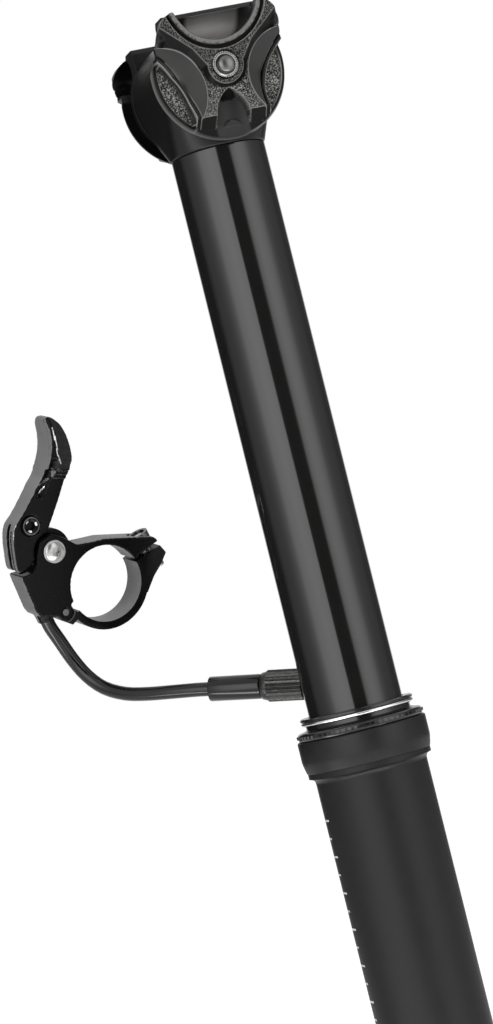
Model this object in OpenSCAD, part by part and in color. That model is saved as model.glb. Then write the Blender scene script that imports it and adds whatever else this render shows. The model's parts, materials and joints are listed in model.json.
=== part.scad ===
// Dropper seatpost with a remote lever, at full height.
// Z runs up the post, X forward, and the clamp bolt lies along Y.
// Z = 0 is the top of the straight lower tube, where the frame's seat tube ends.

/* [Post] */
// Outside diameter of the lower tube
lower_diameter = 30.9; // [30:0.1:34]
// Wall of the lower tube
lower_wall = 1.2; // [1:0.05:1.4]
// Wall of the stanchion
stanchion_wall = 1.5; // [1.3:0.05:1.8]
// How far the saddle drops
travel = 125; // [100:1:150]

/* [Saddle clamp] */
// Diameter of the saddle rails
rail_diameter = 7; // [6.5:0.1:7.5]
// Distance between the two rails
rail_spacing = 44; // [43:0.1:46]
// Radius of the cheeks
cheek_radius = 17.8; // [17:0.1:19]
// Diameter of the clamp bolt
clamp_bolt_diameter = 5; // [5:0.1:5.5]

/* [Remote lever] */
// Diameter of the handlebar
bar_diameter = 22.2; // [21:0.1:24]

/* [Cable] */
// Diameter of the outer cable
cable_diameter = 4; // [3.5:0.1:5]
// Diameter of the knurled adjuster
adjuster_diameter = 8.8; // [8:0.1:10]

/* [Hidden] */
$fn = 96;
// Running, press and face clearances
run = 0.05;
press = 0.02;
face = 0.1;

// Lower tube and collar
lower_r = lower_diameter / 2;
bore_r = lower_r - lower_wall;
stanchion_r = lower_r - 2.45;
stanchion_bore = stanchion_r - stanchion_wall;
lower_length = travel + 90;
flare_r = lower_r + 1.55;
cup_r = lower_r + 0.95;
cup_bore = lower_r - 0.15;
cup_floor = 4.3;
cup_top = 11;
collar_r = lower_r + 2.35;
collar_bottom = 3;
collar_top = 11.8;
wiper_top = collar_top + 6;
lip_r = lower_r + 0.25;
neck_r = lower_r - 1;
ring_mid = neck_r + 0.6;
ring_z = wiper_top - 1.5;
ring_wire = 0.55;
key_r = bore_r + 0.55;
key_width = 2.4;

// Heights along the post
bush_bottom = -30;
bumper_bottom = -33;
key_top = -33.4;
key_bottom = -49;
low_bush_top = -51;
low_bush_bottom = -67;
stanchion_bottom = -70;
head_bottom = wiper_top + travel + 30.2;
bolt_z = head_bottom + cheek_radius + 0.9;

// Gas spring
cylinder_r = stanchion_bore - 2.5;
cylinder_bore = cylinder_r - 1.2;
rod_r = cylinder_bore - 3.8;
rod_neck = rod_r * 0.625;
valve_r = 2.5;
cylinder_top = -44;
cylinder_bottom = -lower_length + 9;
gland_bottom = cylinder_top - 12;
piston_top = gland_bottom - 6;
piston_bottom = piston_top - 8;
spigot_bottom = head_bottom - 25;
rod_top = head_bottom - 6;

// Saddle clamp, sizes measured outward from the middle plane
rail_y = rail_spacing / 2;
rail_r = rail_diameter / 2;
rail_up = 11.4;
barrel_half = stanchion_r + 0.4;
barrel_r = cheek_radius - 1.6;
cradle_in = barrel_half + face;
cradle_out = cradle_in + 2.6;
cheek_in = cradle_out + 0.4;
cheek_rim = cheek_in + 2.4;
cheek_leg = cheek_in + 6.8;
cheek_bead = cheek_in + 3.9;
cheek_web = rail_y + 2.2;
cheek_horn = rail_y + 5.4;
bolt_r = clamp_bolt_diameter / 2;
bolt_hole = bolt_r + 0.1;
insert_r = bolt_r + 1.1;
scoop_up = 16.6;
scoop_r = 10;

// Actuator behind the stanchion, turned to the side away from the camera
actuator_turn = -17.5;
plate_mid = 7.9;
crank_y = collar_r + 3;
crank_thick = 2;
crank_z = plate_mid;
anchor_z = 24.1;
crank_arm = anchor_z - crank_z;
house_half = 12;
house_in = collar_r + 1.5;
house_out = collar_r + 7.6;
house_bottom = 0.2;
house_floor = 2.6;
house_roof = 29;
house_top = 33;
cover_thick = 1.6;
plate_tilt = 2;
plate_thick = 1.6;
plate_hole = stanchion_r + 0.15;
plate_r = cup_bore - 0.4;
plate_gap = 0.3;
plate_edge = -(plate_r + 0.1);
plate_rise = plate_thick / 2 + plate_gap / 2 - plate_edge * tan(plate_tilt);
spring_end = plate_rise + (crank_y - 1.5) * tan(plate_tilt) - plate_thick / 2 - 0.4;
tab_end = crank_y + crank_thick / 2 + 0.8;
toe_x = 5;
tab_in = 2.9;
tab_out = 7.4;
window_in = 2.5;
window_out = 7.8;

// Cable end at the post: stations along its own axis
conn_side = 15;
conn_rise = 10;
conn_out = [-cos(conn_side) * cos(conn_rise), sin(conn_side) * cos(conn_rise), sin(conn_rise)];
adjuster_r = adjuster_diameter / 2;
adjuster_from = 14.2;
adjuster_to = 25.2;
ferrule_to = 40.5;
ferrule_r = cable_diameter / 2 + 1.5;
stud_r = 2.4;

// Remote lever, drawn round the bar and then set beside the post
lever_scale = bar_diameter / 22.2;
lever_turn = [14.4, 8.6, 11.5];
lever_seat = [-63.2, 65.5, 61.5];
seat_u = -16.7;
seat_v = -10;
bar_r = 11.1;
half_wide = 4.8;
paddle_half = half_wide + 0.7;
blade_half = half_wide - 0.6;
pivot_u = -16.4;
pivot_v = 10.2;
hinge_u = -12.7;
hinge_v = -7.6;
screw_u = -23.2;
screw_v = 17.8;
hub_r = 6.4;
lobe_r = 5.2;
plate_front = 2.6;
split_u = 14;
split_v = 9.6;
split_lean = 27.8;
cable_u = 0.471;
cable_v = -0.882;

// Ring of rectangular section between two heights
module ring(outer, inner, low, high) {
  translate([0, 0, low])
    difference() {
      cylinder(r = outer, h = high - low);
      translate([0, 0, -1])
        cylinder(r = inner, h = high - low + 2);
    }
}

// Cylinder along Y from one plane to the other
module rod_y(r, from, to) {
  translate([0, to, 0])
    rotate([90, 0, 0])
      cylinder(r = r, h = to - from);
}

// Slab along Y from a flat shape drawn in X and Z
module slab(from, to) {
  translate([0, to, 0])
    rotate([90, 0, 0])
      linear_extrude(to - from)
        children();
}

// Tube swept along points, closed at both ends
function unit(v) = v / norm(v);
function tangent(p, i) = unit(p[min(i + 1, len(p) - 1)] - p[max(i - 1, 0)]);
function across(t) = unit(cross(t, abs(t[2]) < 0.9 ? [0, 0, 1] : [1, 0, 0]));
module swept(p, r, sides) {
  n = len(p);
  points = [for (i = [0:n - 1], k = [0:sides - 1])
    let (t = tangent(p, i), a = across(t), b = cross(t, a), w = 360 * k / sides)
    p[i] + r * (cos(w) * a + sin(w) * b)];
  walls = [for (i = [0:n - 2], k = [0:sides - 1])
    let (j = (k + 1) % sides)
    [i * sides + k, i * sides + j, (i + 1) * sides + j, (i + 1) * sides + k]];
  first = [for (k = [sides - 1:-1:0]) k];
  last = [for (k = [0:sides - 1]) (n - 1) * sides + k];
  polyhedron(points, concat([first], walls, [last]), convexity = 6);
}

// Frames of the sub-assemblies
module at_bolt() {
  translate([0, 0, bolt_z])
    children();
}
module at_actuator() {
  rotate([0, 0, actuator_turn])
    children();
}
module at_connector() {
  at_actuator()
    translate([0, crank_y, anchor_z])
      rotate([0, 90 - conn_rise, 180 - conn_side])
        children();
}
module at_lever() {
  translate(lever_seat)
    rotate(lever_turn)
      scale(lever_scale)
        translate([-seat_u, 0, -seat_v])
          children();
}

// Two openings in the collar wall for the tabs of the lock plates
module tab_windows() {
  for (x = [-window_out, window_in])
    translate([x, 8, cup_floor])
      cube([window_out - window_in, 14, cup_top - cup_floor]);
}

module lower_tube() {
  color("#2b2b2d")
    difference() {
      rotate_extrude()
        difference() {
          polygon([[bore_r, -lower_length], [lower_r - 0.6, -lower_length],
            [lower_r, -lower_length + 0.6], [lower_r, 0], [flare_r, 0], [flare_r, collar_bottom],
            [cup_r, collar_bottom], [cup_r, cup_top], [cup_bore, cup_top],
            [cup_bore, cup_floor], [bore_r, cup_floor]]);
          translate([flare_r, 0])
            circle(r = flare_r - lower_r);
        }
      for (a = [30, 150, 270])
        rotate([0, 0, a])
          translate([bore_r - 1, -key_width / 2 - face, key_bottom - travel - 2])
            cube([key_r - bore_r + 1 + face, key_width + 2 * face, bush_bottom - key_bottom + travel]);
      at_actuator()
        tab_windows();
    }
}

module collar() {
  color("#232325")
    difference() {
      rotate_extrude()
        polygon([[cup_r + press, collar_bottom], [flare_r + 0.15, collar_bottom],
          [collar_r - 0.25, collar_bottom + 1.2], [collar_r, collar_bottom + 3],
          [collar_r, collar_top - 0.5], [collar_r - 0.35, collar_top], [lower_r + 0.15, collar_top],
          [lower_r + 0.15, cup_top + face], [cup_r + press, cup_top + face]]);
      at_actuator()
        tab_windows();
    }
}

module wiper_seal() {
  color("#141415")
    rotate_extrude()
      polygon([[stanchion_r + 0.5, collar_top], [collar_r - 0.9, collar_top],
        [collar_r - 0.4, collar_top + 0.5], [collar_r - 0.4, collar_top + 1.7],
        [collar_r - 1.1, collar_top + 2.3], [neck_r, collar_top + 2.7], [neck_r, wiper_top - 0.9],
        [lip_r, wiper_top - 0.75], [lip_r, wiper_top - 0.3], [lip_r - 0.4, wiper_top],
        [stanchion_r + run, wiper_top], [stanchion_r + run, wiper_top - 1.2],
        [stanchion_r + 0.5, wiper_top - 2]]);
}

module wiper_ring() {
  color("#c9ccd0")
    rotate_extrude()
      translate([ring_mid, ring_z])
        circle(r = ring_wire);
}

module upper_bush() {
  color("#5d5a52")
    ring(bore_r - press, stanchion_r + run, bush_bottom, cup_floor - 0.2);
}

module top_out_bumper() {
  color("#8a2f2a")
    ring(bore_r - 0.1, stanchion_r + 0.4, bumper_bottom, bush_bottom);
}

module base_cap() {
  color("#3a3a3d")
    difference() {
      union() {
        translate([0, 0, -lower_length - 3])
          cylinder(r = lower_r, h = 3);
        translate([0, 0, -lower_length])
          cylinder(r = bore_r - press, h = lower_length + cylinder_bottom);
        translate([0, 0, -lower_length])
          cylinder(r = cylinder_bore - press, h = lower_length + cylinder_bottom + 7);
      }
      ring(bore_r + 1, bore_r - 1.5, -lower_length + 3, -lower_length + 4.6);
      translate([0, 0, -lower_length - 4])
        cylinder(r = valve_r + press, h = 40);
      for (a = [0, 180])
        rotate([0, 0, a])
          translate([lower_r * 0.62, 0, -lower_length - 4])
            cylinder(r = 1.2, h = 3.5);
    }
}

module base_cap_seal() {
  color("#1c1c1c")
    rotate_extrude()
      translate([bore_r - 0.75, -lower_length + 3.8])
        circle(r = 0.7);
}

module fill_valve() {
  color("#b89a4c")
    union() {
      translate([0, 0, -lower_length - 7])
        cylinder(r = valve_r, h = 22);
      translate([0, 0, -lower_length - 4.2])
        cylinder(r = valve_r + 1.5, h = 1.2);
    }
}

module gas_cylinder() {
  color("#8d8f93")
    ring(cylinder_r, cylinder_bore, cylinder_bottom, cylinder_top);
}

module cylinder_gland() {
  color("#6d6f73")
    difference() {
      ring(cylinder_bore - press, rod_r + run, gland_bottom, cylinder_top);
      ring(rod_r + 1.6, rod_r - 1, gland_bottom + 5, gland_bottom + 8.1);
    }
}

module rod_seal() {
  color("#1c1c1c")
    ring(rod_r + 1.55, rod_r + run, gland_bottom + 5.05, gland_bottom + 8.05);
}

module gas_piston_groove() {
  ring(cylinder_bore + 1, cylinder_bore - 1.9, piston_bottom + 3, piston_bottom + 5);
}

module piston() {
  color("#a7a9ad")
    difference() {
      translate([0, 0, piston_bottom])
        cylinder(r = cylinder_bore - run, h = piston_top - piston_bottom);
      gas_piston_groove();
      translate([0, 0, piston_bottom - 1])
        cylinder(r = rod_neck + press, h = 20);
    }
}

module piston_seal() {
  color("#1c1c1c")
    rotate_extrude()
      translate([cylinder_bore - 0.95, piston_bottom + 4])
        circle(r = 0.9);
}

module piston_rod() {
  color("#c4c7cb")
    union() {
      translate([0, 0, piston_bottom])
        cylinder(r = rod_neck, h = 20);
      translate([0, 0, piston_top])
        cylinder(r = rod_r, h = rod_top - piston_top);
    }
}

module rod_nut() {
  color("#77797d")
    difference() {
      translate([0, 0, spigot_bottom - 5])
        cylinder(r = rod_r + 3.5, h = 5, $fn = 6);
      translate([0, 0, spigot_bottom - 6])
        cylinder(r = rod_r + press, h = 7);
    }
}

module stanchion() {
  color("#1b1b1d")
    difference() {
      ring(stanchion_r, stanchion_bore, stanchion_bottom, head_bottom);
      for (a = [30, 150, 270])
        rotate([0, 0, a])
          translate([stanchion_r - 0.8 - press, -key_width / 2 - press, key_bottom - press])
            cube([5, key_width + 2 * press, key_top - key_bottom + 2 * press]);
    }
}

module guide_keys() {
  color("#b89a4c")
    for (a = [30, 150, 270])
      rotate([0, 0, a])
        translate([stanchion_r - 0.8, -key_width / 2, key_bottom])
          cube([key_r - stanchion_r + 0.8, key_width, key_top - key_bottom]);
}

module lower_bush() {
  color("#5d5a52")
    ring(bore_r - run, stanchion_r + press, low_bush_bottom, low_bush_top);
}

module head() {
  color("#262628")
    difference() {
      union() {
        hull() {
          translate([0, 0, head_bottom])
            cylinder(r = stanchion_r + 0.1, h = 1.2, $fn = 72);
          at_bolt()
            rotate([90, 0, 0])
              cylinder(r = barrel_r, h = 2 * barrel_half, center = true, $fn = 72);
        }
        translate([0, 0, spigot_bottom])
          cylinder(r = stanchion_bore - press, h = head_bottom - spigot_bottom + 1);
      }
      at_bolt()
        rod_y(bolt_hole, -40, 40);
      translate([0, 0, spigot_bottom - 1])
        cylinder(r = rod_r + press, h = rod_top - spigot_bottom + 1);
    }
}

// Rail along X on the positive side of the clamp
module rail_space(r) {
  translate([-40, rail_y, rail_up])
    rotate([0, 90, 0])
      cylinder(r = r, h = 80);
}

// Shape drawn in Y and Z, carried along X
module along_x(half) {
  translate([-half, 0, 0])
    rotate([90, 0, 90])
      linear_extrude(2 * half)
        children();
}

module cradle_half() {
  difference() {
    union() {
      rod_y(barrel_r, cradle_in, cradle_out);
      along_x(13)
        polygon([[cradle_in, 0], [cradle_out, 0], [cradle_out, 3], [cradle_out + 2.8, 6],
          [rail_y - 0.3, 6], [rail_y - 0.3, rail_up + rail_r], [rail_y - 1.5, rail_up + rail_r + 1.4],
          [cradle_in + 1, rail_up + rail_r + 1.4], [cradle_in, rail_up + rail_r]]);
    }
    rail_space(rail_r + press);
    rod_y(bolt_hole, 0, 60);
  }
}

module near_cradle() {
  color("#8b8d90")
    at_bolt()
      mirror([0, 1, 0])
        cradle_half();
}

module far_cradle() {
  color("#8b8d90")
    at_bolt()
      cradle_half();
}

// Flat shapes of the cheek, drawn round the bolt
module cheek_outline() {
  difference() {
    union() {
      circle(r = cheek_radius);
      translate([-cheek_radius - 0.2, 0])
        square([2 * cheek_radius + 0.4, 11.7]);
      translate([-cheek_radius + 4.8, 0])
        square([2 * cheek_radius - 9.6, 16.7]);
      for (s = [-1, 1])
        translate([s * (cheek_radius - 4.8), 11.7])
          circle(r = 5);
    }
    translate([0, scoop_up])
      circle(r = scoop_r);
  }
}
module beads() {
  for (s = [-1, 1])
    difference() {
      translate([s * 32.4, -11.9])
        circle(r = 22.8);
      translate([s * 32.4, -11.9])
        circle(r = 21.5);
    }
}
module almonds() {
  for (s = [-1, 1])
    intersection() {
      translate([s * 32.4, -11.9])
        circle(r = 21.5);
      circle(r = cheek_radius - 0.7);
    }
}
module arch() {
  intersection() {
    translate([-3.9, -12.9])
      circle(r = 8.7);
    translate([3.9, -12.9])
      circle(r = 8.7);
  }
  translate([-4.8, -24])
    square([9.6, 11.1]);
}
// Hollow cones that leave the sloping petals
module petal_cones() {
  for (s = [-1, 1])
    translate([s * 21.5, cheek_rim - 2.4, -4.4])
      rotate([-90, 0, 0])
        cylinder(r1 = 9.6, r2 = 17.6, h = 9.6);
}
module web() {
  difference() {
    union() {
      circle(r = 4.6);
      polygon([[-2.8, -3.6], [-8.5, 5.2], [-14.6, 12.6], [-20, 16], [-20, 22], [20, 22], [20, 16],
        [14.6, 12.6], [8.5, 5.2], [2.8, -3.6]]);
    }
    translate([0, scoop_up])
      circle(r = scoop_r + 2.4);
  }
}
module scoop_band() {
  difference() {
    translate([0, scoop_up])
      circle(r = scoop_r + 1.2);
    translate([0, scoop_up])
      circle(r = scoop_r);
  }
}

module cheek_half() {
  difference() {
    union() {
      rod_y(cheek_radius + 0.8, cheek_in, cheek_in + 1.6);
      slab(cheek_in, cheek_rim)
        cheek_outline();
      difference() {
        intersection() {
          slab(cheek_in, cheek_leg)
            difference() {
              cheek_outline();
              almonds();
              arch();
            }
          along_x(30)
            polygon([[0, -30], [cheek_rim, -30], [cheek_rim, -15.8], [cheek_leg, -12.4], [cheek_leg, 30],
              [0, 30]]);
        }
        petal_cones();
      }
      slab(cheek_in, cheek_bead)
        intersection() {
          cheek_outline();
          beads();
        }
      intersection() {
        slab(cheek_in, cheek_horn + 5)
          intersection() {
            cheek_outline();
            union() {
              web();
              scoop_band();
            }
          }
        along_x(30)
          polygon([[0, -30], [cheek_web - 0.6, -30], [cheek_web - 0.6, -3], [cheek_horn + 0.5, 12],
            [cheek_horn + 0.5, 30], [0, 30]]);
      }
      intersection() {
        slab(cheek_in, cheek_horn + 5)
          cheek_outline();
        along_x(30)
          polygon([[0, 0], [cheek_web - 2.6, 0], [cheek_horn - 0.6, 10], [cheek_horn - 0.6, 30],
            [0, 30]]);
      }
    }
    along_x(30)
      polygon([[0, 2.6], [cradle_out + 0.4, 2.6], [cradle_out + 3.2, 5.4], [rail_y + face, 5.4],
        [rail_y + face, 40], [0, 40]]);
    rail_space(rail_r + press);
  }
}

module near_cheek() {
  color("#2a2a2c")
    at_bolt()
      difference() {
        mirror([0, 1, 0])
          cheek_half();
        rod_y(insert_r + press, -60, 0);
        rod_y(4.5, -60, -cheek_web + 2);
      }
}

module far_cheek() {
  color("#2a2a2c")
    at_bolt()
      difference() {
        cheek_half();
        rod_y(bolt_hole, 0, 60);
        rod_y(4.6, cheek_web - 3.6, 60);
      }
}

module clamp_insert() {
  color("#6f7175")
    at_bolt()
      difference() {
        rod_y(insert_r, -cheek_web - 1, -cheek_in - 0.5);
        rod_y(bolt_r + run, -60, 0);
      }
}

module clamp_bolt() {
  color("#9c9ea2")
    at_bolt()
      difference() {
        union() {
          rod_y(bolt_r, -cheek_web - 1.6, cheek_web - 2.8);
          rod_y(bolt_r + 1.75, cheek_web - 2.8, cheek_web + 2.2);
          intersection() {
            rod_y(bolt_r - 0.3, -cheek_web - 9, -cheek_web - 1.5);
            translate([0, -cheek_web - 1.6, 0])
              sphere(r = bolt_r + 0.5);
          }
        }
        translate([0, cheek_web + 3, 0])
          rotate([90, 0, 0])
            cylinder(r = bolt_r - 0.2, h = 3.8, $fn = 6);
      }
}

module bolt_washer() {
  color("#9c9ea2")
    at_bolt()
      difference() {
        rod_y(bolt_r + 1.9, cheek_web - 3.6, cheek_web - 2.8);
        rod_y(bolt_r + 0.1, 0, 60);
      }
}

module actuator_housing() {
  color("#2a2a2c")
    difference() {
      at_actuator()
        difference() {
          translate([-house_half, 10, house_bottom])
            cube([2 * house_half, house_out - 10, house_top - house_bottom]);
          translate([0, 0, -20])
            cylinder(r = collar_r + press, h = 80);
          difference() {
            translate([-house_half + 1.5, house_in, house_floor])
              cube([2 * house_half - 3, 20, house_roof - house_floor]);
            translate([window_in, house_in - 1, 12])
              cube([house_half - window_in, house_out - house_in + 1, 1.5]);
          }
          tab_windows();
          translate([0, 0, crank_z])
            rod_y(1.2 + press, 5, 40);
          for (x = [-8.5, 8.5], z = [house_bottom + 1.2, house_roof + 2])
            translate([x, house_out + 1, z])
              rotate([90, 0, 0])
                cylinder(r = 0.7, h = 5.5);
        }
      at_connector()
        cylinder(r = stud_r + press, h = 30);
    }
}

module actuator_cover() {
  color("#242426")
    difference() {
      at_actuator()
        difference() {
          translate([-house_half, house_out, house_bottom])
            cube([2 * house_half, cover_thick, house_top - house_bottom]);
          translate([0, 0, crank_z])
            rod_y(1.2 + press, 5, 40);
          for (x = [-8.5, 8.5], z = [house_bottom + 1.2, house_roof + 2])
            translate([x, house_out + 5, z])
              rotate([90, 0, 0])
                cylinder(r = 0.75, h = 9);
        }
      at_connector()
        cylinder(r = adjuster_r + 0.5, h = 30);
    }
}

module cover_screws() {
  color("#8d8f93")
    at_actuator()
      for (x = [-8.5, 8.5], z = [house_bottom + 1.2, house_roof + 2])
        translate([x, house_out + cover_thick, z])
          difference() {
            union() {
              translate([0, 1, 0])
                rotate([90, 0, 0])
                  cylinder(r = 1.15, h = 1);
              rotate([90, 0, 0])
                cylinder(r = 0.68, h = 5.5);
            }
            translate([0, 1.1, 0])
              rotate([90, 0, 0])
                cylinder(r = 0.55, h = 0.7, $fn = 6);
          }
}

module crank_pin() {
  color("#b9bcc0")
    at_actuator()
      translate([0, 0, crank_z])
        rod_y(1.2, collar_r + face, house_out + cover_thick);
}

function coil(x, y, low, high, r, turns) = [for (i = [0:turns * 8])
  [x + r * cos(45 * i), y + r * sin(45 * i), low + (high - low) * i / (turns * 8)]];

module plate_springs() {
  color("#a7a9ad")
    at_actuator() {
      swept(coil(-toe_x - 0.1, crank_y, house_floor + 0.4, plate_mid + spring_end, 1.3, 4), 0.25, 6);
      swept(coil(toe_x + 0.1, crank_y, plate_mid - spring_end, 11.7, 1.3, 4), 0.25, 6);
    }
}

module plate(way) {
  at_actuator()
    translate([0, 0, plate_mid + way * plate_rise])
      rotate([way * plate_tilt, 0, 0])
        difference() {
          union() {
            cylinder(r = plate_r, h = plate_thick, center = true);
            translate([way > 0 ? -tab_out : tab_in, 11, -plate_thick / 2])
              cube([tab_out - tab_in, tab_end - 11, plate_thick]);
          }
          cylinder(r = plate_hole, h = 10, center = true);
        }
}

module hold_plate() {
  color("#85888d")
    plate(1);
}

module lock_plate() {
  color("#85888d")
    plate(-1);
}

tab_rest = plate_rise + (crank_y + crank_thick / 2) * tan(plate_tilt) + plate_thick / 2 / cos(plate_tilt);
module crank_toe() {
  translate([-toe_x, tab_rest + 1.1])
    circle(r = 0.95);
  translate([-toe_x, tab_rest + 1.1])
    square([toe_x + 1, 0.95]);
  translate([-1, 0])
    square([2, tab_rest + 2.05]);
}

module release_crank() {
  color("#6f7175")
    at_actuator()
      difference() {
        translate([0, 0, crank_z])
          slab(crank_y - crank_thick / 2, crank_y + crank_thick / 2) {
            circle(r = 2.2);
            crank_toe();
            rotate(180)
              crank_toe();
            translate([-1.3, 0])
              square([2.6, crank_arm]);
            translate([0, crank_arm])
              circle(r = 2.5);
          }
        translate([0, 0, crank_z])
          rod_y(1.2 + run, 5, 40);
        translate([0, 0, anchor_z])
          rod_y(1.5 + press, 5, 40);
      }
}

module wire_nipple() {
  color("#b9bcc0")
    at_actuator()
      translate([0, 0, anchor_z])
        rod_y(1.5, crank_y - 1.2, crank_y + 1.2);
}

module adjuster_stud() {
  color("#8d8f93")
    at_connector()
      ring(stud_r, 0.9, 10.4, 24);
}

module barrel_adjuster() {
  color("#3c3d40")
    at_connector()
      difference() {
        union() {
          translate([0, 0, adjuster_from])
            cylinder(r = adjuster_r, h = adjuster_to - adjuster_from - 1.2);
          translate([0, 0, adjuster_to - 1.2])
            cylinder(r1 = adjuster_r, r2 = ferrule_r + 0.3, h = 1.2);
        }
        translate([0, 0, adjuster_from - 1])
          cylinder(r = stud_r + run, h = 10.8);
        translate([0, 0, adjuster_from - 1])
          cylinder(r = 1.2, h = 30);
      }
}

module ferrule() {
  color("#1b1b1d")
    at_connector()
      ring(ferrule_r, 0.9, adjuster_to + face, ferrule_to);
}

// The outer cable runs from the ferrule to the seat in the lever clamp
turned = [[cos(actuator_turn), -sin(actuator_turn), 0], [sin(actuator_turn), cos(actuator_turn), 0], [0, 0, 1]];
ferrule_end = turned * ([0, crank_y, anchor_z] + ferrule_to * conn_out);
ferrule_way = turned * conn_out;
seat_way = [0.287, 0.282, -0.915];
cable_route = [ferrule_end, ferrule_end + 4 * ferrule_way, [-36.8, 48.4, 32.9], [-42.2, 53.5, 34],
  [-47.3, 58.7, 35.6], [-51.9, 63.8, 38.6], [-55.6, 66.8, 42.9], [-58.6, 67.7, 48.5],
  [-61, 67.2, 54.6], lever_seat + 3 * seat_way, lever_seat];

module cable_housing() {
  color("#161617")
    swept(cable_route, cable_diameter / 2, 12);
}

// Remote lever: smooth closed curve through points in the lever's plane
function smooth(a, b, c, d, t) = 0.5 * (2 * b + (c - a) * t + (2 * a - 5 * b + 4 * c - d) * t * t
  + (3 * b - a - 3 * c + d) * t * t * t);
function curve(p, steps) = let (n = len(p)) [for (i = [0:n - 1], k = [0:steps - 1])
  smooth(p[(i + n - 1) % n], p[i], p[(i + 1) % n], p[(i + 2) % n], k / steps)];

blade_points = [[-17.9, 16.4], [-16.2, 20.8], [-14.6, 25], [-13.1, 29.6], [-11.7, 33.4], [-11.1, 36.6],
  [-12, 41], [-13.9, 45.2], [-16.4, 48.2], [-18.5, 48.4], [-18.4, 46.6], [-17.3, 43], [-17.3, 38],
  [-19, 32.2], [-21, 29.2], [-23.4, 25], [-25.9, 20.8], [-28.2, 17.4], [-28.6, 13.4], [-28, 8.5],
  [-27, 4.8], [-24.2, 5.5], [-21, 9.4], [-19.8, 13.2]];
body_points = [[16.7, 11.3], [16.4, 12], [14.8, 12.9], [7.5, 13], [0, 13.1], [-5, 12.3], [-9, 11.8],
  [-13, 14], [-17, 15.3], [-20.6, 13], [-21.4, 9.4], [-21.6, 6.4], [-23, 4.2], [-26.2, 3.3],
  [-25.9, 2.2], [-21.8, -7], [-20.6, -8.4], [-15, -8.8]];

module body_shape() {
  difference() {
    union() {
      polygon(concat(body_points, [[hinge_u, hinge_v], [-8, -2], [0, 6], [9, 6.6], [11.4, 8.4]]));
      translate([hinge_u, hinge_v])
        circle(r = 2.6);
    }
    circle(r = bar_r);
  }
}

module at_pivot() {
  translate([pivot_u, 0, pivot_v])
    children();
}

module lever_channel() {
  translate([seat_u, 0, seat_v])
    rotate([0, atan2(-cable_u, -cable_v), 0])
      children();
}

module at_band_bolt() {
  translate([split_u, 0, split_v])
    rotate([0, -split_lean, 0])
      children();
}

module lever_clamp() {
  color("#1f1f21")
    at_lever()
      difference() {
        union() {
          slab(-half_wide, half_wide)
            body_shape();
          lever_channel()
            cylinder(r = 2.6, h = 7);
        }
        at_pivot()
          rod_y(hub_r + 0.4, -half_wide + plate_front, half_wide - 2.4);
        at_pivot()
          rod_y(1.6 + press, -20, 20);
        slab(-1.9, 1.9)
          translate([hinge_u, hinge_v])
            circle(r = 3);
        translate([hinge_u, 0, hinge_v])
          rod_y(0.95 + press, -20, 20);
        lever_channel()
          translate([0, 0, -1])
            cylinder(r = 0.9, h = 25);
        at_band_bolt()
          cylinder(r = 3 + press, h = 20);
        rod_y(bar_r, -20, 20);
      }
}

module band_insert() {
  color("#c4c7cb")
    at_lever()
      at_band_bolt()
        ring(3, 2.1, 0.9, 4.2);
}

module band_shape() {
  difference() {
    union() {
      intersection() {
        circle(r = bar_r + 2.3);
        polygon([[0, 0], [24, -4], [24, -24], [-20, -24], [-17, -14], [0, -1]]);
      }
      polygon([[9, 5.2], [11.7, 7.2], [17.1, 10.1], [19, 8], [17.6, 4.9], [15.2, 1.2], [13.2, -3.4], [9, -3.4]]);
      polygon([[-10.5, -11.3], [-14, -9.7], [-12.2, -5.8], [-7.5, -8.6]]);
    }
    circle(r = bar_r);
  }
}

module clamp_band() {
  color("#1f1f21")
    at_lever()
      difference() {
        union() {
          difference() {
            slab(-half_wide, half_wide)
              band_shape();
            translate([hinge_u, 0, hinge_v])
              rod_y(2.9, -20, 20);
          }
          slab(-1.7, 1.7)
            intersection() {
              union() {
                band_shape();
                translate([hinge_u, hinge_v])
                  circle(r = 2.4);
              }
              translate([-20, -20])
                square([40, 32]);
            }
        }
        translate([hinge_u, 0, hinge_v])
          rod_y(0.95 + run, -20, 20);
        at_band_bolt()
          translate([0, 0, -30])
            cylinder(r = 2.05, h = 40);
        at_band_bolt()
          translate([0, 0, -30])
            cylinder(r = 3.5, h = 25.6);
      }
}

module band_pin() {
  color("#c4c7cb")
    at_lever()
      translate([hinge_u, 0, hinge_v])
        rod_y(0.95, -half_wide, half_wide);
}

module band_bolt() {
  color("#c4c7cb")
    at_lever()
      at_band_bolt()
        difference() {
          union() {
            translate([0, 0, -7.2])
              cylinder(r = 3.3, h = 2.8);
            translate([0, 0, -5])
              cylinder(r = 2, h = 5);
            cylinder(r = 1.6, h = 3.6);
          }
          translate([0, 0, -7.4])
            cylinder(r = 1.5, h = 2, $fn = 6);
        }
}

module pivot_bolt() {
  color("#d0d3d7")
    at_lever()
      at_pivot()
        difference() {
          union() {
            rod_y(1.6, -half_wide, half_wide);
            rod_y(3.35, -half_wide - 1.3, -half_wide);
          }
          rod_y(1.2, -half_wide - 2, -half_wide - 0.5);
        }
}

module pivot_bush() {
  color("#b89a4c")
    at_lever()
      at_pivot()
        difference() {
          rod_y(2.5, -half_wide + plate_front + 0.1, half_wide - 2.5);
          rod_y(1.6 + press, -20, 20);
        }
}

module lever_spring() {
  color("#a7a9ad")
    at_lever()
      at_pivot()
        rotate([90, 0, 0])
          swept(coil(0, 0, -0.4, 1.5, 3.75, 1.5), 0.35, 6);
}

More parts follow.
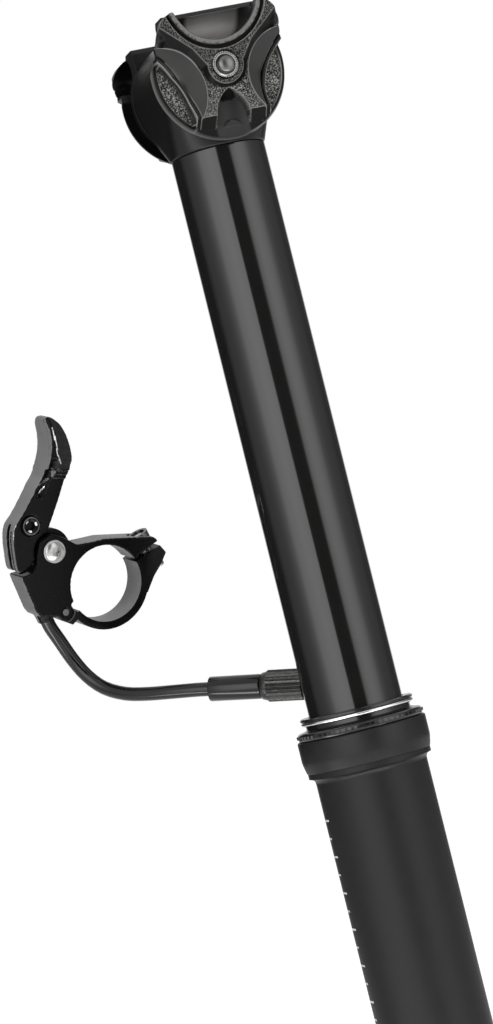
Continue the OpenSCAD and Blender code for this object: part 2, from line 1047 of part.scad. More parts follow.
module lever_blade() {
  color("#1b1b1d")
    at_lever()
      difference() {
        union() {
          difference() {
            slab(-blade_half, blade_half)
              polygon(curve(blade_points, 4));
            at_pivot()
              rod_y(lobe_r + 0.5, -20, 20);
            translate([-20.9, -blade_half - 1.3, 26.4])
              rotate([0, 24, 0])
                cylinder(r = 2.4, h = 8.5);
          }
          slab(-paddle_half, paddle_half)
            intersection() {
              polygon(curve(blade_points, 4));
              polygon([[-40, 35.2], [-5, 32.6], [-5, 60], [-40, 60]]);
            }
          slab(-half_wide + plate_front + 0.2, half_wide - 2.6) {
            intersection() {
              polygon(curve(blade_points, 4));
              translate([pivot_u, pivot_v])
                circle(r = hub_r + 4);
            }
            translate([pivot_u, pivot_v])
              circle(r = hub_r);
          }
        }
        at_pivot()
          rod_y(2.5 + run, -20, 20);
        at_pivot()
          rod_y(4.6, -half_wide + plate_front - 1, 0.9);
        slab(-0.8, 0.8)
          difference() {
            translate([-40, 2])
              square([20, 16]);
            translate([pivot_u, pivot_v])
              circle(r = 10.4);
          }
        translate([screw_u, 0, screw_v])
          rod_y(2.9, -20, -1);
      }
}

module anchor_screw() {
  color("#161617")
    at_lever()
      translate([screw_u, 0, screw_v])
        difference() {
          rod_y(2.85, -blade_half - 0.4, -1);
          translate([0, -blade_half + 0.8, 0])
            rotate([90, 0, 0])
              cylinder(r = 1.4, h = 3, $fn = 6);
        }
}

lower_tube();
collar();
wiper_seal();
wiper_ring();
upper_bush();
top_out_bumper();
base_cap();
base_cap_seal();
fill_valve();
gas_cylinder();
cylinder_gland();
rod_seal();
actuator_housing();
actuator_cover();
cover_screws();
crank_pin();
plate_springs();
adjuster_stud();
ferrule();
cable_housing();
barrel_adjuster();
release_crank();
wire_nipple();
hold_plate();
lock_plate();
stanchion();
head();
lower_bush();
guide_keys();
piston_rod();
piston();
piston_seal();
rod_nut();
near_cradle();
far_cradle();
near_cheek();
clamp_insert();
far_cheek();
clamp_bolt();
bolt_washer();
lever_clamp();
band_pin();
band_insert();
pivot_bolt();
pivot_bush();
lever_spring();
lever_blade();
anchor_screw();
clamp_band();
band_bolt();
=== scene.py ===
"""Looks of a dropper seatpost and its remote lever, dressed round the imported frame."""

import json
import logging
import math
from dataclasses import dataclass
from enum import Enum, IntEnum
from typing import Callable, Sequence

import bmesh
import bpy
from mathutils import Matrix, Vector, geometry, noise

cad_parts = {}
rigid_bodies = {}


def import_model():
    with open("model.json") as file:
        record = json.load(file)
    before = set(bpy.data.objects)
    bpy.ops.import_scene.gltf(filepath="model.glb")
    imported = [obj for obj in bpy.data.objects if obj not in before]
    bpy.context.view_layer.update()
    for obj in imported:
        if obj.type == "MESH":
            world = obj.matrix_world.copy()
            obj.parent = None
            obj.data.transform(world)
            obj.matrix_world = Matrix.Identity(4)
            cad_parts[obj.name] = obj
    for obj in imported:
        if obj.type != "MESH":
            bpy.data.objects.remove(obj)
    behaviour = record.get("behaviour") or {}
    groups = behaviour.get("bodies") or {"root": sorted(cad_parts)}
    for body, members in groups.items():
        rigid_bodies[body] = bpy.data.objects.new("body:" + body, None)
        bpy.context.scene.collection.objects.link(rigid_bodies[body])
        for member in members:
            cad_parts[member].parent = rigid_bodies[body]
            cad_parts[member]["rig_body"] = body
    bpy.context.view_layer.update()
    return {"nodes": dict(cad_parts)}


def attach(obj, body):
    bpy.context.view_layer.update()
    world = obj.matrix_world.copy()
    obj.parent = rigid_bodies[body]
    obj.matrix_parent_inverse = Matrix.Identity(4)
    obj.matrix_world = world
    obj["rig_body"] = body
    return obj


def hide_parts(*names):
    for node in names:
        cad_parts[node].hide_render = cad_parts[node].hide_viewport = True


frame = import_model()

LOG = logging.getLogger("seatpost")
MM = 0.001
SEED = Vector((3.7, 11.3, 5.9))
Point2 = tuple[float, float]
Colour = tuple[float, float, float]
Triangle = tuple[int, int, int]
Form, Mesh, Piece = bmesh.types.BMesh, bpy.types.Mesh, bpy.types.Object
Node, Socket, Tree = bpy.types.Node, bpy.types.NodeSocket, bpy.types.NodeTree
Verts = dict[int, bmesh.types.BMVert]


class Body(str, Enum):
    """Moving bodies of the frame."""

    LOWER = "lower_post"
    UPPER = "upper_post"
    CRADLE = "saddle_cradle"
    NEAR = "near_side"
    FAR = "far_side"
    LEVER = "thumb_lever"
    BAND = "lever_band"
    ADJUSTER = "adjuster"


class Side(Enum):
    """Side of the clamp's middle plane: the near one faces the camera."""

    NEAR = -1
    FAR = 1


class Look(IntEnum):
    """Material slots of the remote lever's pieces."""

    BLACK = 0
    # The flank slot paints side faces light grey where light falls on them
    LIT_FLANK = 1
    GLINT = 2
    SHINE = 3
    GRIP = 4


class Mark(str, Enum):
    """Float attributes of a mesh that its material reads."""

    # The tone mark paints satin places lighter where light falls and darker where shade falls
    TONE = "tone"
    PITS = "pits"
    # The edge mark paints highlights along the cheek's edges
    EDGE = "edge"
    GLOW = "glow"


# Shader nodes


def mixed(tree: Tree, share: Socket, first: Socket | Colour, second: Socket | Colour) -> Socket:
    """Mix two colours.

    Args:
        tree: The material's nodes.
        share: Share of the second colour.
        first: The first colour, or the output that gives it.
        second: The second one.

    Returns:
        Colour output of the mix.
    """
    node = tree.nodes.new("ShaderNodeMix")
    node.data_type = "RGBA"
    tree.links.new(share, node.inputs["Factor"])
    for title, colour in (("A", first), ("B", second)):
        if isinstance(colour, Socket):
            tree.links.new(colour, node.inputs[title])
        else:
            node.inputs[title].default_value = (*colour, 1)
    return node.outputs["Result"]


def ranged(tree: Tree, value: Socket, low: float, high: float, top: float = 1.0) -> Socket:
    """Spread a value over another range.

    Args:
        tree: The material's nodes.
        value: Output that runs from 0 to top.
        low: Result at 0.
        high: Result at top.
        top: Upper end of the value.

    Returns:
        Output of the result.
    """
    node = tree.nodes.new("ShaderNodeMapRange")
    for title, number in (("From Max", top), ("To Min", low), ("To Max", high)):
        node.inputs[title].default_value = number
    tree.links.new(value, node.inputs["Value"])
    return node.outputs["Result"]


def marked(tree: Tree, mark: Mark) -> Socket:
    """Output that gives an attribute of the mesh.

    Args:
        tree: The material's nodes.
        mark: The attribute.

    Returns:
        The output.
    """
    node = tree.nodes.new("ShaderNodeAttribute")
    node.attribute_name = mark.value
    return node.outputs["Fac"]


def viewed(tree: Tree) -> Socket:
    """Output that is 1 on camera, glossy and transmission rays.

    Args:
        tree: The nodes of a material or of the world.

    Returns:
        The output.
    """
    path = tree.nodes.new("ShaderNodeLightPath")
    value = path.outputs["Is Camera Ray"]
    for ray in ("Is Glossy Ray", "Is Transmission Ray"):
        most = tree.nodes.new("ShaderNodeMath")
        most.operation = "MAXIMUM"
        tree.links.new(value, most.inputs[0])
        tree.links.new(path.outputs[ray], most.inputs[1])
        value = most.outputs[0]
    return value


# Finishes


@dataclass(frozen=True)
class Finish:
    """A surface finish with procedural colour, roughness and grain."""

    name: str
    base: Colour
    roughness: float = 0.4
    metallic: float = 0.0
    ior: float = 1.5
    mottle: float = 0.15
    mottle_scale: float = 260.0
    spread: float = 0.06
    grain: float = 0.05
    grain_scale: float = 5200.0
    grain_depth: float = 0.0002
    stretch: tuple[float, float, float] = (1.0, 1.0, 1.0)

    # Skin with satin places painted lighter as lit and darker as shade, grained places and painted highlights along
    # edges
    pitted: Colour | None = None
    pit_from: float = 0.46
    pit_to: float = 0.68
    pit_shade: float = 0.03
    pit_roughness: float = 0.45
    pit_grain: float = 0.7
    satin_lit: Colour = (0.052, 0.052, 0.051)
    # Light grey that paints highlights along edges
    edge_glint: Colour = (0.34, 0.335, 0.325)

    # Middle of a round patch of painted light in X and Z, and its radius, in mm; beyond it the colour is painted
    # shadow
    lit_patch: tuple[float, float, float] | None = None
    lit_patch_edge: float = 0.16
    beyond: Colour = (0.006, 0.006, 0.006)

    def material(self) -> bpy.types.Material:
        """Make the finish's material, or return the one already made.

        Returns:
            The material, with its nodes on Object coordinates.
        """
        title = "finish_" + self.name
        made = bpy.data.materials.get(title)
        if made:
            return made
        made = bpy.data.materials.new(title)
        made.use_nodes = True
        tree = made.node_tree
        shader = tree.nodes["Principled BSDF"]
        shader.inputs["Metallic"].default_value = self.metallic
        shader.inputs["IOR"].default_value = self.ior
        where, turn, bump = (tree.nodes.new("ShaderNode" + kind) for kind in ("TexCoord", "Mapping", "Bump"))
        turn.inputs["Scale"].default_value = self.stretch
        tree.links.new(where.outputs["Object"], turn.inputs["Vector"])
        cloud = self._noise(tree, turn, self.mottle_scale, 4.0)
        fine = self._noise(tree, turn, self.grain_scale, 3.0)
        dark = [c * (1 - self.mottle) for c in self.base]
        pale = [min(1.0, c * (1 + self.mottle)) for c in self.base]
        colour = mixed(tree, cloud, dark, pale)
        roughness = ranged(tree, cloud, max(0.02, self.roughness - self.spread), self.roughness + self.spread)
        bump.inputs["Strength"].default_value = self.grain
        bump.inputs["Distance"].default_value = self.grain_depth
        tree.links.new(fine, bump.inputs["Height"])
        if self.pitted:
            colour, roughness = self._pits(tree, fine, bump, colour, roughness)
        if self.lit_patch:
            colour = self._lit_patch(tree, colour)
        tree.links.new(colour, shader.inputs["Base Color"])
        tree.links.new(roughness, shader.inputs["Roughness"])
        tree.links.new(bump.outputs["Normal"], shader.inputs["Normal"])
        return made

    def _lit_patch(self, tree: Tree, colour: Socket) -> Socket:
        """Keep the colour on a round patch of painted light in X and Z, and paint black shadow beyond.

        Args:
            tree: The material's nodes.
            colour: Colour output of the patch.

        Returns:
            Colour output of the whole.
        """
        x, z, radius = (value * MM for value in self.lit_patch)
        where, turn, round_ = (tree.nodes.new("ShaderNode" + kind) for kind in ("TexCoord", "Mapping", "TexGradient"))
        turn.inputs["Location"].default_value = (-x / radius, 0, -z / radius)
        turn.inputs["Scale"].default_value = (1 / radius, 0, 1 / radius)
        round_.gradient_type = "SPHERICAL"
        tree.links.new(where.outputs["Object"], turn.inputs["Vector"])
        tree.links.new(turn.outputs["Vector"], round_.inputs["Vector"])
        return mixed(tree, ranged(tree, round_.outputs["Fac"], 0.0, 1.0, self.lit_patch_edge), self.beyond, colour)

    def _noise(self, tree: Tree, turn: Node, scale: float, detail: float) -> Socket:
        """Add a noise texture to the material.

        Args:
            tree: The material's nodes.
            turn: The mapping node that gives its coordinates.
            scale: Cells to the metre.
            detail: Octaves.

        Returns:
            Output of the noise.
        """
        cloud = tree.nodes.new("ShaderNodeTexNoise")
        cloud.inputs["Scale"].default_value = scale
        cloud.inputs["Detail"].default_value = detail
        tree.links.new(turn.outputs["Vector"], cloud.inputs["Vector"])
        return cloud.outputs["Fac"]

    def _pits(self, tree: Tree, fine: Socket, bump: Node, colour: Socket, roughness: Socket) -> tuple[Socket, Socket]:
        """Shade the satin places with their painted light and shade, the grained places and the painted edge
        highlights that the mesh marks.

        Args:
            tree: The material's nodes.
            fine: Output of the fine noise.
            bump: The bump node.
            colour: Colour output of the black skin.
            roughness: Roughness output of the black skin.

        Returns:
            Colour and roughness outputs of the whole skin.
        """
        sparkle = tree.nodes.new("ShaderNodeValToRGB")
        low, high = sparkle.color_ramp.elements
        low.position, low.color = self.pit_from, (*(c * self.pit_shade for c in self.pitted), 1)
        high.position, high.color = self.pit_to, (*self.pitted, 1)
        tree.links.new(fine, sparkle.inputs["Fac"])
        pits = marked(tree, Mark.PITS)
        colour = mixed(tree, marked(tree, Mark.TONE), colour, self.satin_lit)
        colour = mixed(tree, pits, colour, sparkle.outputs["Color"])
        colour = mixed(tree, marked(tree, Mark.EDGE), colour, self.edge_glint)
        blend = tree.nodes.new("ShaderNodeMix")
        tree.links.new(pits, blend.inputs["Factor"])
        tree.links.new(roughness, blend.inputs["A"])
        blend.inputs["B"].default_value = self.pit_roughness
        tree.links.new(ranged(tree, pits, self.grain, self.pit_grain), bump.inputs["Strength"])
        return colour, blend.outputs["Result"]


STANCHION = Finish("stanchion", (0.0102, 0.0100, 0.0097), 0.09, spread=0.015, grain=0.002, mottle_scale=90)
TUBE = Finish("tube", (0.0100, 0.0100, 0.0098), 0.42, ior=1.3, grain=0.05, grain_scale=7000)
COLLAR = Finish("collar", (0.0110, 0.0110, 0.0108), 0.40, ior=1.32, grain=0.05, grain_scale=6500)
RUBBER = Finish("rubber", (0.008, 0.008, 0.0078), 0.16, spread=0.04, grain=0.02)
BUMPER = Finish("bumper", (0.30, 0.045, 0.035), 0.6, grain=0.1)
STEEL = Finish("steel", (0.74, 0.74, 0.73), 0.22, metallic=1.0, grain=0.03, stretch=(1, 1, 6))
INSERT = Finish("insert", (0.24, 0.24, 0.235), 0.25, metallic=1.0, grain=0.1, mottle=0.7, mottle_scale=1400)
BOLT = Finish("bolt", (0.14, 0.14, 0.138), 0.34, metallic=1.0, grain=0.04)
# The forged skin mixes in its satin colour as painted light, black as painted shade, and its edge colour as painted
# highlights
FORGED = Finish("forged", (0.0025, 0.0025, 0.0025), 0.30, ior=1.16, grain=0.03, grain_scale=3000,
                pitted=(0.5, 0.495, 0.48))
HEAD = Finish("head", (0.006, 0.006, 0.006), 0.34, ior=1.28, grain=0.06, grain_scale=4200)
# The cradle's groove is painted light on a round patch and painted black as shadow beyond it
CRADLE = Finish("cradle", (0.20, 0.195, 0.187), 0.5, metallic=0.3, grain=0.05, stretch=(1, 8, 8), lit_patch=(1, 206, 8))
LEVER = Finish("lever", (0.0030, 0.0030, 0.0030), 0.26, ior=1.2, grain=0.03)
# Light grey painted on the lever's side faces where light falls on them
LIT_FLANK = Finish("flank", (0.19, 0.19, 0.188), 0.45, grain=0.05)
# Glint and shine paint highlights and reflections into the colour; shine is bare metal
GLINT = Finish("glint", (0.10, 0.10, 0.099), 0.2, grain=0.02)
SHINE = Finish("shine", (0.62, 0.62, 0.615), 0.3, metallic=1.0, grain=0.05, mottle=0.5, mottle_scale=800)
GRIP = Finish("grip", (0.024, 0.024, 0.024), 0.4, ior=1.2, grain=0.2, mottle=0.6, mottle_scale=900)
PIVOT = Finish("pivot", (0.40, 0.40, 0.395), 0.3, metallic=1.0, grain=0.05, mottle=0.3, mottle_scale=700)
CABLE = Finish("cable", (0.006, 0.006, 0.006), 0.16, ior=1.42, grain=0.02)
FERRULE = Finish("ferrule", (0.003, 0.003, 0.003), 0.12, ior=1.42, grain=0.02)
KNURL = Finish("knurl", (0.040, 0.040, 0.039), 0.17, metallic=0.9, grain=0.5, grain_scale=2600, mottle=0.8,
               mottle_scale=1500)
HOUSING = Finish("housing", (0.016, 0.016, 0.0158), 0.42, grain=0.06)
SCREW = Finish("screw", (0.011, 0.011, 0.011), 0.25, grain=0.03)
BRASS = Finish("brass", (0.58, 0.42, 0.16), 0.28, metallic=1.0)
BUSH = Finish("bush", (0.12, 0.11, 0.09), 0.5, grain=0.06)
ALLOY = Finish("alloy", (0.52, 0.53, 0.54), 0.28, metallic=1.0, stretch=(1, 1, 8))
PRINT = Finish("print", (0.72, 0.72, 0.71), 0.5, mottle=0.3, grain=0.05)


# Measures


def ramp(value: float, low: float, high: float) -> float:
    """Share of the way from low to high, from 0 to 1."""
    return min(1.0, max(0.0, (value - low) / (high - low)))


def mix(a: float, b: float, share: float) -> float:
    """Value between a and b."""
    return a + (b - a) * share


def apart(u: float, v: float, line: Sequence[Point2]) -> float:
    """Distance from a point to a bent line.

    Args:
        u: Place along the first axis.
        v: Place along the second one.
        line: Corners of the line.

    Returns:
        The distance, in mm.
    """
    best = math.inf
    for (a, b), (c, d) in zip(line, line[1:]):
        share = ramp((u - a) * (c - a) + (v - b) * (d - b), 0.0, (c - a) ** 2 + (d - b) ** 2)
        best = min(best, math.hypot(u - mix(a, c, share), v - mix(b, d, share)))
    return best


def bend(a: float, b: float, c: float, d: float, share: float) -> float:
    """Value between b and c on the smooth curve through four values.

    Args:
        a: The first value.
        b: The second one.
        c: The third one.
        d: The fourth one.
        share: Share of the way from b to c.

    Returns:
        The value.
    """
    return 0.5 * (2 * b + (c - a) * share + (2 * a - 5 * b + 4 * c - d) * share * share
                  + (3 * b - a - 3 * c + d) * share ** 3)


def arc(radius: float, first: float, last: float, count: int, middle: Point2 = (0.0, 0.0)) -> list[Point2]:
    """Draw an arc as even places.

    Args:
        radius: Its radius, in mm.
        first: Angle at its start, in degrees.
        last: Angle at its end.
        count: Number of steps.
        middle: Its middle.

    Returns:
        The places, from its start to its end.
    """
    turns = (math.radians(first + (last - first) * k / count) for k in range(count + 1))
    return [(middle[0] + radius * math.cos(a), middle[1] + radius * math.sin(a)) for a in turns]


# Meshes


def linked(name: str, mesh: Mesh) -> Piece:
    """Put a mesh in the scene as an object at the origin.

    Args:
        name: Name of the piece.
        mesh: Its mesh, in place and in metres.

    Returns:
        The new object.
    """
    made = bpy.data.objects.new(name, mesh)
    mesh.name = name
    bpy.context.scene.collection.objects.link(made)
    return made


def smooth(mesh: Mesh, angle: float = 38.0) -> Mesh:
    """Shade a mesh smooth, with sharp edges past an angle.

    Args:
        mesh: The mesh.
        angle: Degrees past which an edge stays sharp.

    Returns:
        The same mesh.
    """
    mesh.polygons.foreach_set("use_smooth", [True] * len(mesh.polygons))
    mesh.set_sharp_from_angle(angle=math.radians(angle))
    return mesh


def turned(name: str, profile: Sequence[Point2], place: Matrix = Matrix(), steps: int = 128) -> Piece:
    """Turn a closed profile round the Z axis.

    Args:
        name: Name of the piece.
        profile: Radius and height of each corner, in mm. A radius of 0 makes a pole.
        place: Where the piece goes, in mm.
        steps: Sides of the turned form.

    Returns:
        The piece.
    """
    form = bmesh.new()
    rings = []
    for radius, height in profile:
        if radius < 1e-6:
            rings.append([form.verts.new((0, 0, height))] * steps)
            continue
        angles = (2 * math.pi * k / steps for k in range(steps))
        rings.append([form.verts.new((radius * math.cos(a), radius * math.sin(a), height)) for a in angles])
    for low, high in zip(rings, rings[1:] + rings[:1]):
        for k in range(steps):
            corners = [low[k], low[(k + 1) % steps], high[(k + 1) % steps], high[k]]
            unique = list(dict.fromkeys(corners))
            if len(unique) > 2:
                form.faces.new(unique)
    bmesh.ops.recalc_face_normals(form, faces=form.faces[:])
    return linked(name, finished(name, form, place))


def finished(name: str, form: Form, place: Matrix = Matrix(), angle: float = 38.0) -> Mesh:
    """Turn a form drawn in mm into a smooth mesh in metres.

    Args:
        name: Name of the mesh.
        form: The form, which is freed.
        place: Where it goes, in mm.
        angle: Degrees past which an edge stays sharp.

    Returns:
        The mesh.
    """
    mesh = bpy.data.meshes.new(name)
    form.to_mesh(mesh)
    form.free()
    mesh.transform(Matrix.Scale(MM, 4) @ place)
    return smooth(mesh, angle)


def applied(piece: Piece) -> Piece:
    """Turn a piece and its modifiers into a plain mesh.

    Args:
        piece: The piece.

    Returns:
        The same piece, with no modifier.
    """
    seen = piece.evaluated_get(bpy.context.evaluated_depsgraph_get())
    mesh = bpy.data.meshes.new_from_object(seen)
    piece.modifiers.clear()
    piece.data = mesh
    return piece


def merged(node: str) -> Mesh:
    """Copy a CAD node's mesh with its loose triangles joined.

    Args:
        node: Name of the node.

    Returns:
        The copy.
    """
    form = bmesh.new()
    form.from_mesh(frame["nodes"][node].data)
    bmesh.ops.remove_doubles(form, verts=form.verts[:], dist=1e-6)
    bmesh.ops.dissolve_limit(form, angle_limit=math.radians(1.0), verts=form.verts[:], edges=form.edges[:])
    mesh = bpy.data.meshes.new(node)
    form.to_mesh(mesh)
    form.free()
    return mesh


def softened(name: str, node: str, width: float, turns: int = 2, angle: float = 32.0) -> Piece:
    """Copy a CAD node with its edges broken.

    Args:
        name: Name of the new piece.
        node: The node.
        width: Width of the broken edge, in mm.
        turns: Segments across the edge.
        angle: Degrees past which an edge is broken.

    Returns:
        The new piece.
    """
    piece = linked(name, merged(node))
    edge = piece.modifiers.new("edge", "BEVEL")
    edge.width = width * MM
    edge.segments = turns
    edge.limit_method = "ANGLE"
    edge.angle_limit = math.radians(angle)
    edge.use_clamp_overlap = True
    applied(piece)
    smooth(piece.data, 42)
    return piece


def remeshed(name: str, node: str, voxel: float, rounds: int, keep: float) -> Piece:
    """Copy a CAD node as a cast form with rounded edges.

    Args:
        name: Name of the new piece.
        node: The node.
        voxel: Size of its cells, in mm.
        rounds: Rounds of smoothing.
        keep: Share of the faces that are kept.

    Returns:
        The new piece.
    """
    piece = linked(name, merged(node))
    cells = piece.modifiers.new("cells", "REMESH")
    cells.mode = "VOXEL"
    cells.voxel_size = voxel * MM
    ease = piece.modifiers.new("ease", "SMOOTH")
    ease.factor = 0.5
    ease.iterations = rounds
    thin = piece.modifiers.new("thin", "DECIMATE")
    thin.ratio = keep
    applied(piece)
    smooth(piece.data, 60)
    return piece


def joined(piece: Piece, *meshes: Mesh) -> Piece:
    """Add meshes to a piece that has their material.

    Args:
        piece: The piece.
        meshes: Meshes in place, in metres.

    Returns:
        The same piece.
    """
    form = bmesh.new()
    form.from_mesh(piece.data)
    for mesh in meshes:
        form.from_mesh(mesh)
    form.to_mesh(piece.data)
    form.free()
    return piece


def prism(name: str, radii: Sequence[float], place: Matrix, low: float, high: float) -> Mesh:
    """Stand a straight column on corners round the Z axis.

    Args:
        name: Name of the mesh.
        radii: Distance of each corner from the axis, in mm.
        place: Where the column goes, in mm.
        low: Height of its foot.
        high: Height of its top.

    Returns:
        The closed mesh, in metres.
    """
    form = bmesh.new()
    turns = [2 * math.pi * k / len(radii) for k in range(len(radii))]
    foot = form.faces.new([form.verts.new((r * math.cos(a), r * math.sin(a), low)) for r, a in zip(radii, turns)])
    grown = bmesh.ops.extrude_face_region(form, geom=[foot])
    risen = [part for part in grown["geom"] if isinstance(part, bmesh.types.BMVert)]
    bmesh.ops.translate(form, vec=(0, 0, high - low), verts=risen)
    bmesh.ops.recalc_face_normals(form, faces=form.faces[:])
    return finished(name, form, place)


def carve(piece: Piece, cutter: Mesh) -> Piece:
    """Cut a closed mesh out of a piece.

    Args:
        piece: The piece.
        cutter: The closed mesh, in place.

    Returns:
        The same piece.
    """
    tool = linked("cutter", cutter)
    cut = piece.modifiers.new("cut", "BOOLEAN")
    cut.operation = "DIFFERENCE"
    cut.solver = "EXACT"
    cut.object = tool
    bpy.context.view_layer.update()
    applied(piece)
    bpy.data.objects.remove(tool)
    return piece


def painted(piece: Piece, *finishes: Finish) -> Piece:
    """Give a piece its finishes.

    Args:
        piece: The piece.
        finishes: One finish to each material slot.

    Returns:
        The same piece.
    """
    piece.data.materials.clear()
    for finish in finishes:
        piece.data.materials.append(finish.material())
    return piece


def body_of(node: str) -> Body:
    """Body that carries a CAD node."""
    return Body(frame["nodes"][node]["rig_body"])


def settled(piece: Piece, body: Body, slot: str, *nodes: str) -> Piece:
    """Tie a finished piece to the frame and report it.

    Args:
        piece: The piece.
        body: The body that it rides on.
        slot: The record's material slot; not used.
        nodes: CAD nodes that it stands for.

    Returns:
        The same piece.
    """
    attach(piece, body.value)
    if nodes:
        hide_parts(*nodes)
    LOG.info("%s rides on %s for %s", piece.name, body.value, ", ".join(nodes) or "trim")
    return piece


def along(start: Sequence[float], way: Sequence[float]) -> Matrix:
    """Frame whose Z axis runs along a direction.

    Args:
        start: Origin, in mm.
        way: Direction of Z.

    Returns:
        The frame.
    """
    return Matrix.Translation(start) @ Vector(way).to_track_quat("Z", "X").to_matrix().to_4x4()


# Repeats


class Repeat:
    """A Geometry Nodes tree that repeats a small block."""

    def __init__(self, name: str, inputs: dict[str, str]) -> None:
        """Start the tree with its named inputs.

        Args:
            name: Name of the tree.
            inputs: Kind of each input's socket, by title.
        """
        self.tree = bpy.data.node_groups.new(name, "GeometryNodeTree")
        self.tree.interface.new_socket("Geometry", in_out="OUTPUT", socket_type="NodeSocketGeometry")
        for title, kind in inputs.items():
            self.tree.interface.new_socket(title, in_out="INPUT", socket_type=kind)
        self.given = self.add("NodeGroupInput").outputs

    def add(self, kind: str, wires: dict[str | int, Socket] | None = None, **values: str) -> Node:
        """Add a node with some of its inputs linked and its properties set.

        Args:
            kind: Type of the node.
            wires: Outputs of other nodes, by input.
            values: Its properties.

        Returns:
            The node.
        """
        node = self.tree.nodes.new(kind)
        for title, value in values.items():
            setattr(node, title, value)
        for into, socket in (wires or {}).items():
            self.tree.links.new(socket, node.inputs[into])
        return node

    def close(self, last: Socket) -> None:
        """End the tree in plain geometry with its material.

        Args:
            last: Output that gives the geometry.
        """
        plain = self.add("GeometryNodeRealizeInstances", {"Geometry": last})
        skin = self.add("GeometryNodeSetMaterial", {"Geometry": plain.outputs["Geometry"],
                                                    "Material": self.given["Material"]})
        self.add("NodeGroupOutput", {"Geometry": skin.outputs["Geometry"]})

    def grown(self, name: str, place: Matrix, **values: object) -> Mesh:
        """Run the tree and keep its result as a plain mesh.

        Args:
            name: Name of the mesh.
            place: Where it goes, in mm.
            values: The tree's inputs, by title.

        Returns:
            The mesh, in metres.
        """
        seed = linked(name + "_seed", bpy.data.meshes.new(name))
        run = seed.modifiers.new("grow", "NODES")
        run.node_group = self.tree
        for item in self.tree.interface.items_tree:
            if item.in_out == "INPUT" and item.name in values:
                run[item.identifier] = values[item.name]
        mesh = applied(seed).data
        bpy.data.objects.remove(seed)
        mesh.transform(Matrix.Scale(MM, 4) @ place)
        return mesh


def knurl_tree() -> Repeat:
    """Ridges that stand round the Z axis, lengthways.

    Returns:
        The tree.
    """
    made = Repeat("knurl", {"Count": "NodeSocketInt", "Radius": "NodeSocketFloat", "Block": "NodeSocketVector",
                            "Height": "NodeSocketFloat", "Material": "NodeSocketMaterial"})
    ring = made.add("GeometryNodeMeshCircle", {"Vertices": made.given["Count"], "Radius": made.given["Radius"]})
    block = made.add("GeometryNodeMeshCube", {"Size": made.given["Block"]})
    spot = made.add("GeometryNodeInputPosition")
    turn = made.add("FunctionNodeAlignRotationToVector", {"Vector": spot.outputs["Position"]}, axis="X")
    lean = made.add("FunctionNodeRotateRotation", {"Rotation": turn.outputs["Rotation"]}, rotation_space="LOCAL")
    lean.inputs["Rotate By"].default_value = (0, 0, math.radians(45))
    put = made.add("GeometryNodeInstanceOnPoints", {"Points": ring.outputs["Mesh"], "Instance": block.outputs["Mesh"],
                                                    "Rotation": lean.outputs["Rotation"]})
    up = made.add("ShaderNodeCombineXYZ", {"Z": made.given["Height"]})
    lift = made.add("GeometryNodeTransform", {"Geometry": put.outputs["Instances"],
                                              "Translation": up.outputs["Vector"]})
    made.close(lift.outputs["Geometry"])
    return made


def knurled(piece: Piece, finish: Finish, place: Matrix, count: int, radius: float,
            block: tuple[float, float, float], height: float) -> Piece:
    """Paint a piece and stand ridges round it.

    Args:
        piece: The piece.
        finish: Finish of the piece and its ridges.
        place: Frame whose Z axis is the piece's axis, in mm.
        count: Number of ridges.
        radius: Distance of their middles from the axis.
        block: Size of one ridge.
        height: Height of its middle.

    Returns:
        The same piece.
    """
    ridges = knurl_tree().grown(piece.name + "_ridges", place, Count=count, Radius=radius, Block=block,
                                Height=height, Material=finish.material())
    return joined(painted(piece, finish), ridges)


def scale_tree() -> Repeat:
    """Marks at even heights, bent round a tube at its rear.

    Returns:
        The tree.
    """
    made = Repeat("scale", {"Count": "NodeSocketInt", "Start": "NodeSocketVector", "Step": "NodeSocketVector",
                            "Mark": "NodeSocketVector", "Radius": "NodeSocketFloat",
                            "Material": "NodeSocketMaterial"})
    line = made.add("GeometryNodeMeshLine", {"Count": made.given["Count"], "Start Location": made.given["Start"],
                                             "Offset": made.given["Step"]}, mode="OFFSET")
    mark = made.add("GeometryNodeMeshCube", {"Size": made.given["Mark"]})
    mark.inputs["Vertices X"].default_value = 9
    put = made.add("GeometryNodeInstanceOnPoints", {"Points": line.outputs["Mesh"], "Instance": mark.outputs["Mesh"]})
    plain = made.add("GeometryNodeRealizeInstances", {"Geometry": put.outputs["Instances"]})
    spot = made.add("GeometryNodeInputPosition")
    parts = made.add("ShaderNodeSeparateXYZ", {"Vector": spot.outputs["Position"]}).outputs
    angle = made.add("ShaderNodeMath", {0: parts["X"], 1: made.given["Radius"]}, operation="DIVIDE")
    out = made.add("ShaderNodeMath", {0: made.given["Radius"], 1: parts["Y"]}, operation="ADD")
    bent: dict[str | int, Socket] = {"Z": parts["Z"]}
    for trig, axis in (("COSINE", "X"), ("SINE", "Y")):
        wave = made.add("ShaderNodeMath", {0: angle.outputs[0]}, operation=trig)
        reach = made.add("ShaderNodeMath", {0: wave.outputs[0], 1: out.outputs[0]}, operation="MULTIPLY")
        bent[axis] = reach.outputs[0]
    move = made.add("GeometryNodeSetPosition", {"Geometry": plain.outputs["Geometry"],
                                                "Position": made.add("ShaderNodeCombineXYZ", bent).outputs["Vector"]})
    made.close(move.outputs["Geometry"])
    return made


# Studio


